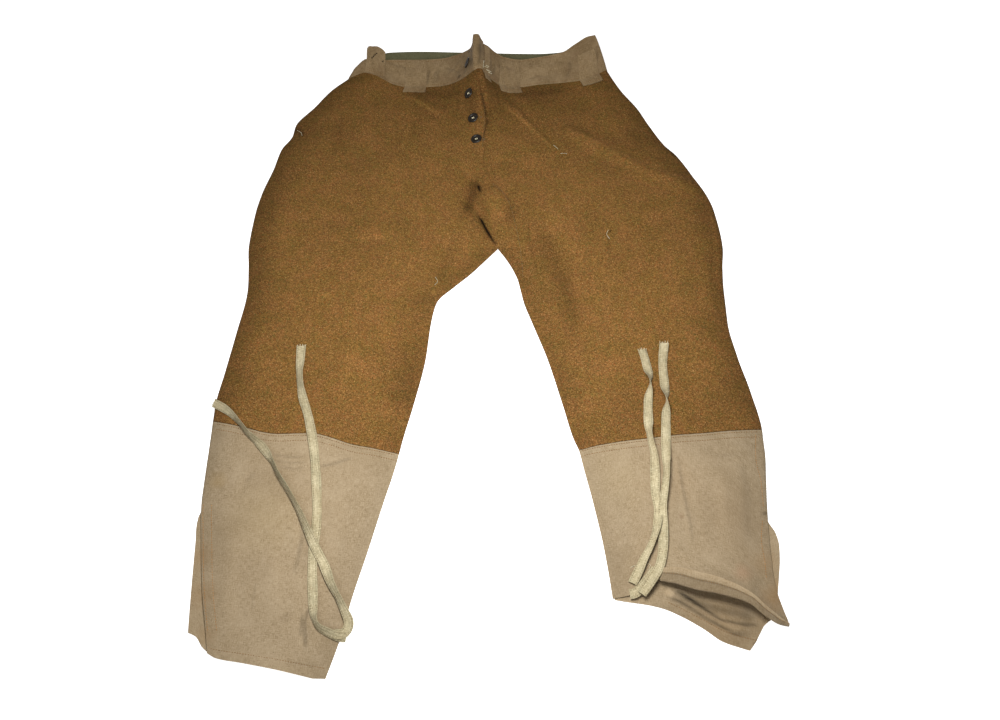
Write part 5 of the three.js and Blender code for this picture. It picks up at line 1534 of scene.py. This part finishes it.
def back_hem_stitches():
    xs = np.linspace(206, 318, 70)
    ys = LEFT.hem_back(xs) + BACK_HEM_ROW

    def height(x, y):
        return COTTON / 2 + cuff_folds(LEFT, x, y)

    return stitch_line(*surface(height, xs, ys, COTTON / 2))


def band_stitches(leg, share):
    a = np.linspace(0.1, 0.985, 150)
    place, normal = sample(leg.band, a, np.full(a.shape, share))
    out = band_raise(leg, place[..., 0]) + BAND / 2
    return stitch_line(place + normal * out[..., None], normal)


def band_normals(places):
    return np.tile((0.0, -0.3, 0.95), (len(places), 1))


def loop_stitches():
    parts = []
    w = np.linspace(-0.9, 0.9, 24)
    for _, x, width, low, high in LOOPS:
        leg = RIGHT if x < FLY_X else LEFT
        a = column_at(leg, x + w * width / 2)
        for s in (low + 2.6, low + 5.4):
            out = LOOP_RISE + LOOP / 2 + loop_puff(w, (s - low) / (high - low))
            parts += stitch_line(over_band(leg, a, flat_row(w, s), out), band_normals(w))
    return parts


def loop_marks():
    """Stitching that shows on the leaning loop."""
    _, x, width, low, high = LOOPS[0]
    parts = []
    for route in ([(-0.5, 0.48), (-0.1, 0.62), (0.3, 0.75)], [(0.80, 0.46), (0.82, 0.56)]):
        w, t = (np.interp(np.linspace(0, 1, 12), np.linspace(0, 1, len(route)), values)
                for values in zip(*route))
        a = column_at(RIGHT, x + w * width / 2)
        place = over_band(RIGHT, a, mix(low, high, t), LOOP_RISE + LOOP / 2 + 1.9)
        parts += stitch_line(place, band_normals(place), length=3.2, radius=0.85)
    return parts


# x, lowest and highest place over the seam, lean
FLY_THREADS = [(-33, 28, 41, 1), (-31, 12, 24, -1), (-29, 4, 17, 1), (-27, 8, 12, 6),
               (-24, 6, 10, 8), (-21, 5, 8, 6), (-30, 30, 44, 0), (-25, 12, 15, 5)]


def thread_along(points, normals, radius):
    return [capsule(a, b, radius, n, 5) for a, b, n in zip(points, points[1:], normals)]


def fly_fray():
    """Pale threads of the frayed edge inside the fly."""
    parts = []
    for x, low, high, lean in FLY_THREADS:
        xs = np.linspace(x, x + lean, 6)
        place = over_band(LEFT, column_at(LEFT, xs), np.linspace(low, high, 6),
                          FACING_RISE + FACING / 2 + 0.6)
        parts += thread_along(place, band_normals(place), THREAD)
    return parts


def fly_stitches():
    """The row beside the edge of the upper front."""
    ys = np.linspace(FLY_BOTTOM - 4, 955, 60)
    return stitch_line(*wool_place(RIGHT, centre_line(ys) - 3.4, ys))


def gusset_stitches():
    ys = np.linspace(GUSSET_BOTTOM + 6, GUSSET_TOP - 8, 90)
    xs = gusset_seam(ys) + 3.0
    return stitch_line(*wool_place(LEFT, xs, ys))


add_stitches("stitches_calves", knee_stitches(RIGHT) + knee_stitches(LEFT) + hem_stitches()
             + turned_hem_stitches() + back_hem_stitches(), BROWN_THREAD, "calf_cotton")
add_stitches("stitches_slits", slit_stitches(), RUST_THREAD, "calf_cotton")
band_parts = [part for share in BAND_ROW_SHARES for leg in (RIGHT, LEFT)
              for part in band_stitches(leg, share)]
add_stitches("stitches_waistband", band_parts + loop_stitches(), BROWN_THREAD, "band_cotton")
add_stitches("stitches_wool", fly_stitches() + gusset_stitches() + buttonholes, DARK_THREAD,
             "wool")
add_stitches("stitches_loop", loop_marks(), BLACK_THREAD, "band_cotton")
add_stitches("threads_fly", fly_fray(), PALE_THREAD, "frayed_facing")
add_stitches("threads_buttons", button_threads, PALE_THREAD, "tape")

# ---------------------------------------------------------------- ties

# name, layer, route in the plan from where it is sewn on, (share of length, roll in degrees)
TIES = [
    ("tie_right_a", 0, [
        (-186, 97), (-196, 98), (-209, 103), (-221, 110), (-226, 121), (-229, 135), (-231, 152),
        (-234, 180),
        (-235, 210), (-234, 250), (-239, 300), (-247, 350), (-257, 390), (-268, 422),
        (-274, 455), (-276, 497)],
     [(0, 25), (0.05, 45), (0.1, 60), (0.14, 20), (0.2, 5), (0.4, 0), (0.7, 0), (0.8, 10),
      (0.86, 42), (0.9, 35), (0.95, 5), (1, 0)]),
    ("tie_right_b", 1, [
        (-200, 101), (-191, 101), (-185, 107), (-184, 116), (-189, 127), (-198, 144),
        (-209, 163), (-220, 187), (-232, 208), (-245, 233),
        (-257, 257), (-271, 280), (-287, 304), (-301, 329), (-315, 347), (-334, 364), (-346, 378),
        (-364, 396), (-386, 410)],
     [(0, 0), (0.06, 12), (0.1, 30), (0.16, 50), (0.22, 30), (0.27, 0), (0.33, 5), (0.4, 40),
      (0.46, 52), (0.54, 64), (0.62, 68), (0.68, 64), (0.72, 36), (0.75, 30), (0.79, 58),
      (0.86, 70), (0.92, 56), (0.96, 38), (1, 30)]),
    ("tie_left_a", 0, [
        (164, 163), (172, 178), (180, 194), (189, 210), (198, 232), (203, 258), (201, 282),
        (202, 310), (202, 334), (199, 354), (198, 372), (200, 412), (203, 431), (204, 449),
        (201, 471), (197, 491)],
     [(0, 10), (0.1, 35), (0.2, 50), (0.3, 20), (0.42, 5), (0.5, 30), (0.56, 55), (0.62, 62),
      (0.68, 15), (0.74, 0), (0.84, 90), (0.92, 178), (1, 176)]),
    ("tie_left_b", 1, [
        (174, 149), (187, 166), (198, 183), (204, 203), (207, 232), (208, 261), (212, 284),
        (216, 307), (218, 334), (220, 358), (222, 385), (224, 412), (224, 440), (224, 470),
        (228, 501)],
     [(0, 5), (0.12, 0), (0.25, 10), (0.35, 35), (0.42, 50), (0.48, 55), (0.54, 15), (0.6, 0),
      (0.68, 0), (0.75, 90), (0.83, 178), (0.93, 182), (1, 196)])]
TAPE_LAYER = TAPE + 0.6
CROSSINGS = (-232, 214)          # x where the two tapes of each leg lie over each other
CROSSING_REACH = 60
TAPES_PART = (365, 330)          # y where the upper tape comes down beside the lower one
TIE_STEPS = 150


def top_of_front(leg, x, y):
    return np.where(y > leg.knee(x), wool_height(leg, x, y) + WOOL / 2,
                    calf_height(leg, x, y) + COTTON / 2)


def tie_path(leg, layer, route, rolls):
    plan = spline(route, TIE_STEPS)
    share = np.linspace(0, 1, TIE_STEPS)
    angles = np.radians(column(rolls)(share))
    heights = []
    for across in (-1, -0.5, 0, 0.5, 1):
        for along in (-0.6, 0, 0.6):
            x = plan[:, 0] + across * TAPE_WIDTH / 2
            heights.append(top_of_front(leg, x, plan[:, 1] + along * TAPE_WIDTH))
    cloth = np.max(heights, axis=0)
    cloth = np.convolve(np.pad(cloth, 3, "edge"), np.ones(7) / 7, "valid")
    beside = np.min([np.abs(plan[:, 0] - x) for x in CROSSINGS], axis=0)
    above = smooth(*TAPES_PART, plan[:, 1])
    lift = layer * TAPE_LAYER * np.where(beside < CROSSING_REACH, above, 0)
    edge = (TAPE_WIDTH / 2) * np.abs(np.sin(angles)) * 0.9
    return np.column_stack((plan, cloth + TAPE_CLEAR + TAPE / 2 + lift + edge)), angles


# share of half the width, share of the thickness: the outline of a tape with folded edges
TAPE_SECTION = [
    (1.0, 0.0), (0.94, 0.42), (0.80, 0.5), (0.62, 0.28), (0.5, 0.48), (0.1, 0.5), (-0.04, 0.26),
    (-0.2, 0.5), (-0.5, 0.5), (-0.64, 0.28), (-0.80, 0.5), (-0.94, 0.42), (-1.0, 0.0),
    (-0.94, -0.42), (-0.5, -0.5), (0.0, -0.5), (0.5, -0.5), (0.94, -0.42)]


def add_tie(name, layer, route, rolls):
    leg = RIGHT if "right" in name else LEFT
    path, angles = tie_path(leg, layer, route, rolls)
    ahead = unit(np.gradient(path, axis=0))
    side = unit(np.cross(ahead, (0, 0, 1)))
    up = np.cross(side, ahead)
    across = side * np.cos(angles)[:, None] + up * np.sin(angles)[:, None]
    thick = np.cross(across, ahead)
    count = len(TAPE_SECTION)
    along = np.linspace(0, distances(path)[-1], TIE_STEPS)
    width = TAPE_WIDTH * (1 + 0.04 * np.sin(along / 11.0) - 0.05 * smooth(6, 0, along))
    points, cloth = [], []
    for i in range(TIE_STEPS):
        for w, t in TAPE_SECTION:
            points.append(path[i] + across[i] * (w * width[i] / 2) + thick[i] * (t * TAPE))
            cloth.append((w * TAPE_WIDTH / 2000, along[i] / 1000, 0))
    faces = []
    for i in range(TIE_STEPS - 1):
        for k in range(count):
            n = (k + 1) % count
            low, high = i * count, (i + 1) * count
            faces.append([low + k, high + k, high + n, low + n])
    faces.append(list(range(count)))
    faces.append(list(range((TIE_STEPS - 1) * count, TIE_STEPS * count))[::-1])
    piece = add_mesh(f"{name}_tape", points, faces, TAPE_CLOTH, "tape", [name],
                     np.array(cloth), sharp=60)
    return piece, path, across, thick


tie_frames = {}
for name, layer, route, rolls in TIES:
    piece, *tie_frames[name] = add_tie(name, layer, route, rolls)

# ---------------------------------------------------------------- folded tape and loose threads

FOLDED_TAPE = [(160, 150), (168, 152), (180, 164), (194, 180)]


def add_folded_tape():
    """The sewn ends of the left ties, folded over each other."""
    route = spline(FOLDED_TAPE, 30)
    ahead = unit(np.gradient(route, axis=0))
    side = np.stack((ahead[:, 1], -ahead[:, 0]), -1)
    rows = []
    for w in np.linspace(-1, 1, 9):
        plan = route + side * (w * TAPE_WIDTH / 2)
        height = top_of_front(LEFT, route[:, 0], route[:, 1]) + TAPE / 2 + TAPE_CLEAR
        rows.append(np.column_stack((plan, height - 0.3 * w ** 2)))
    points = np.array(rows).transpose(1, 0, 2)
    return shell("tie_left_fold", points[:, ::-1], TAPE, TAPE_CLOTH, "tape", [])


def thread_ends():
    """Frayed threads at the cut ends of the tapes."""
    parts = []
    for order, (path, across, thick) in enumerate(tie_frames.values()):
        ahead = unit(path[-1] - path[-2])
        for k in range(9):
            w = (k - 4) / 4.4
            start = path[-1] + across[-1] * (w * TAPE_WIDTH / 2) - ahead
            reach = 2.2 + 1.9 * math.sin(k * 2.7 + order * 1.9)
            lean = 0.8 * math.sin(k * 4.1 + order * 2.3)
            end = start + ahead * (reach + 1) + across[-1] * lean
            parts.append(capsule(start, end, 0.32, thick[-1], 5))
    return parts


def curve_parts(route, leg, radius, place):
    line = spline(route, 14)
    points, normals = place(leg, line[:, 0], line[:, 1])
    points = points + normals * (radius + 0.3)
    return thread_along(points, normals, radius)


LINT = [(LEFT, [(82, 847), (85, 844), (89, 839)]), (LEFT, [(93, 831), (97, 832), (103, 831)]),
        (RIGHT, [(-93, 612), (-90, 604), (-94, 598)]), (LEFT, [(160, 692), (157, 684), (161, 676)]),
        (RIGHT, [(-318, 884), (-312, 880), (-309, 873)])]
CURLS = [(LEFT, [(167, 176), (171, 181), (168, 186), (163, 183)]),
         (LEFT, [(185, 180), (188, 186), (184, 189)])]
fray_parts = thread_ends()
for leg, route in LINT:
    fray_parts += curve_parts(route, leg, LINT_RADIUS, wool_place)
for leg, route in CURLS:
    fray_parts += curve_parts(route, leg, LINT_RADIUS, calf_place)
fold_piece = add_folded_tape()
add_stitches("threads_frayed", fray_parts, PALE_THREAD, "tape")

# ---------------------------------------------------------------- floor and light

FLOOR_REACH = 3                  # metres
FLOOR_DROP = 0.0004


def add_floor():
    corners = [(-FLOOR_REACH, -FLOOR_REACH), (FLOOR_REACH, -FLOOR_REACH),
               (FLOOR_REACH, FLOOR_REACH), (-FLOOR_REACH, FLOOR_REACH)]
    floor = object_from([(x, y, -FLOOR_DROP) for x, y in corners], [(0, 1, 2, 3)], "floor")
    floor.data.materials.append(floor_material())


def add_area_light(name, place, target, size, power):
    data = bpy.data.lights.new(name, "AREA")
    data.shape = "DISK"
    data.size = size
    data.energy = power
    light = bpy.data.objects.new(name, data)
    light.location = place
    light.visible_camera = False
    x, y, z = np.array(target) - np.array(place)
    light.rotation_euler = (math.atan2(math.hypot(x, y), -z), 0, math.atan2(-x, y))
    bpy.context.scene.collection.objects.link(light)


add_floor()
add_area_light("key", (0.02, -0.20, 0.72), (0.02, -0.17, 0), size=0.30, power=7.9)
add_area_light("fill", (-0.5, -1.1, 1.5), (0, 0, 0), size=0.8, power=6)
world = bpy.data.worlds.new("soft_world")
bpy.context.scene.world = world
world.use_nodes = True
background = world.node_tree.nodes["Background"].inputs
background["Color"].default_value = (1, 1, 1, 1)
background["Strength"].default_value = 0.17
bpy.context.scene.view_settings.view_transform = "Standard"
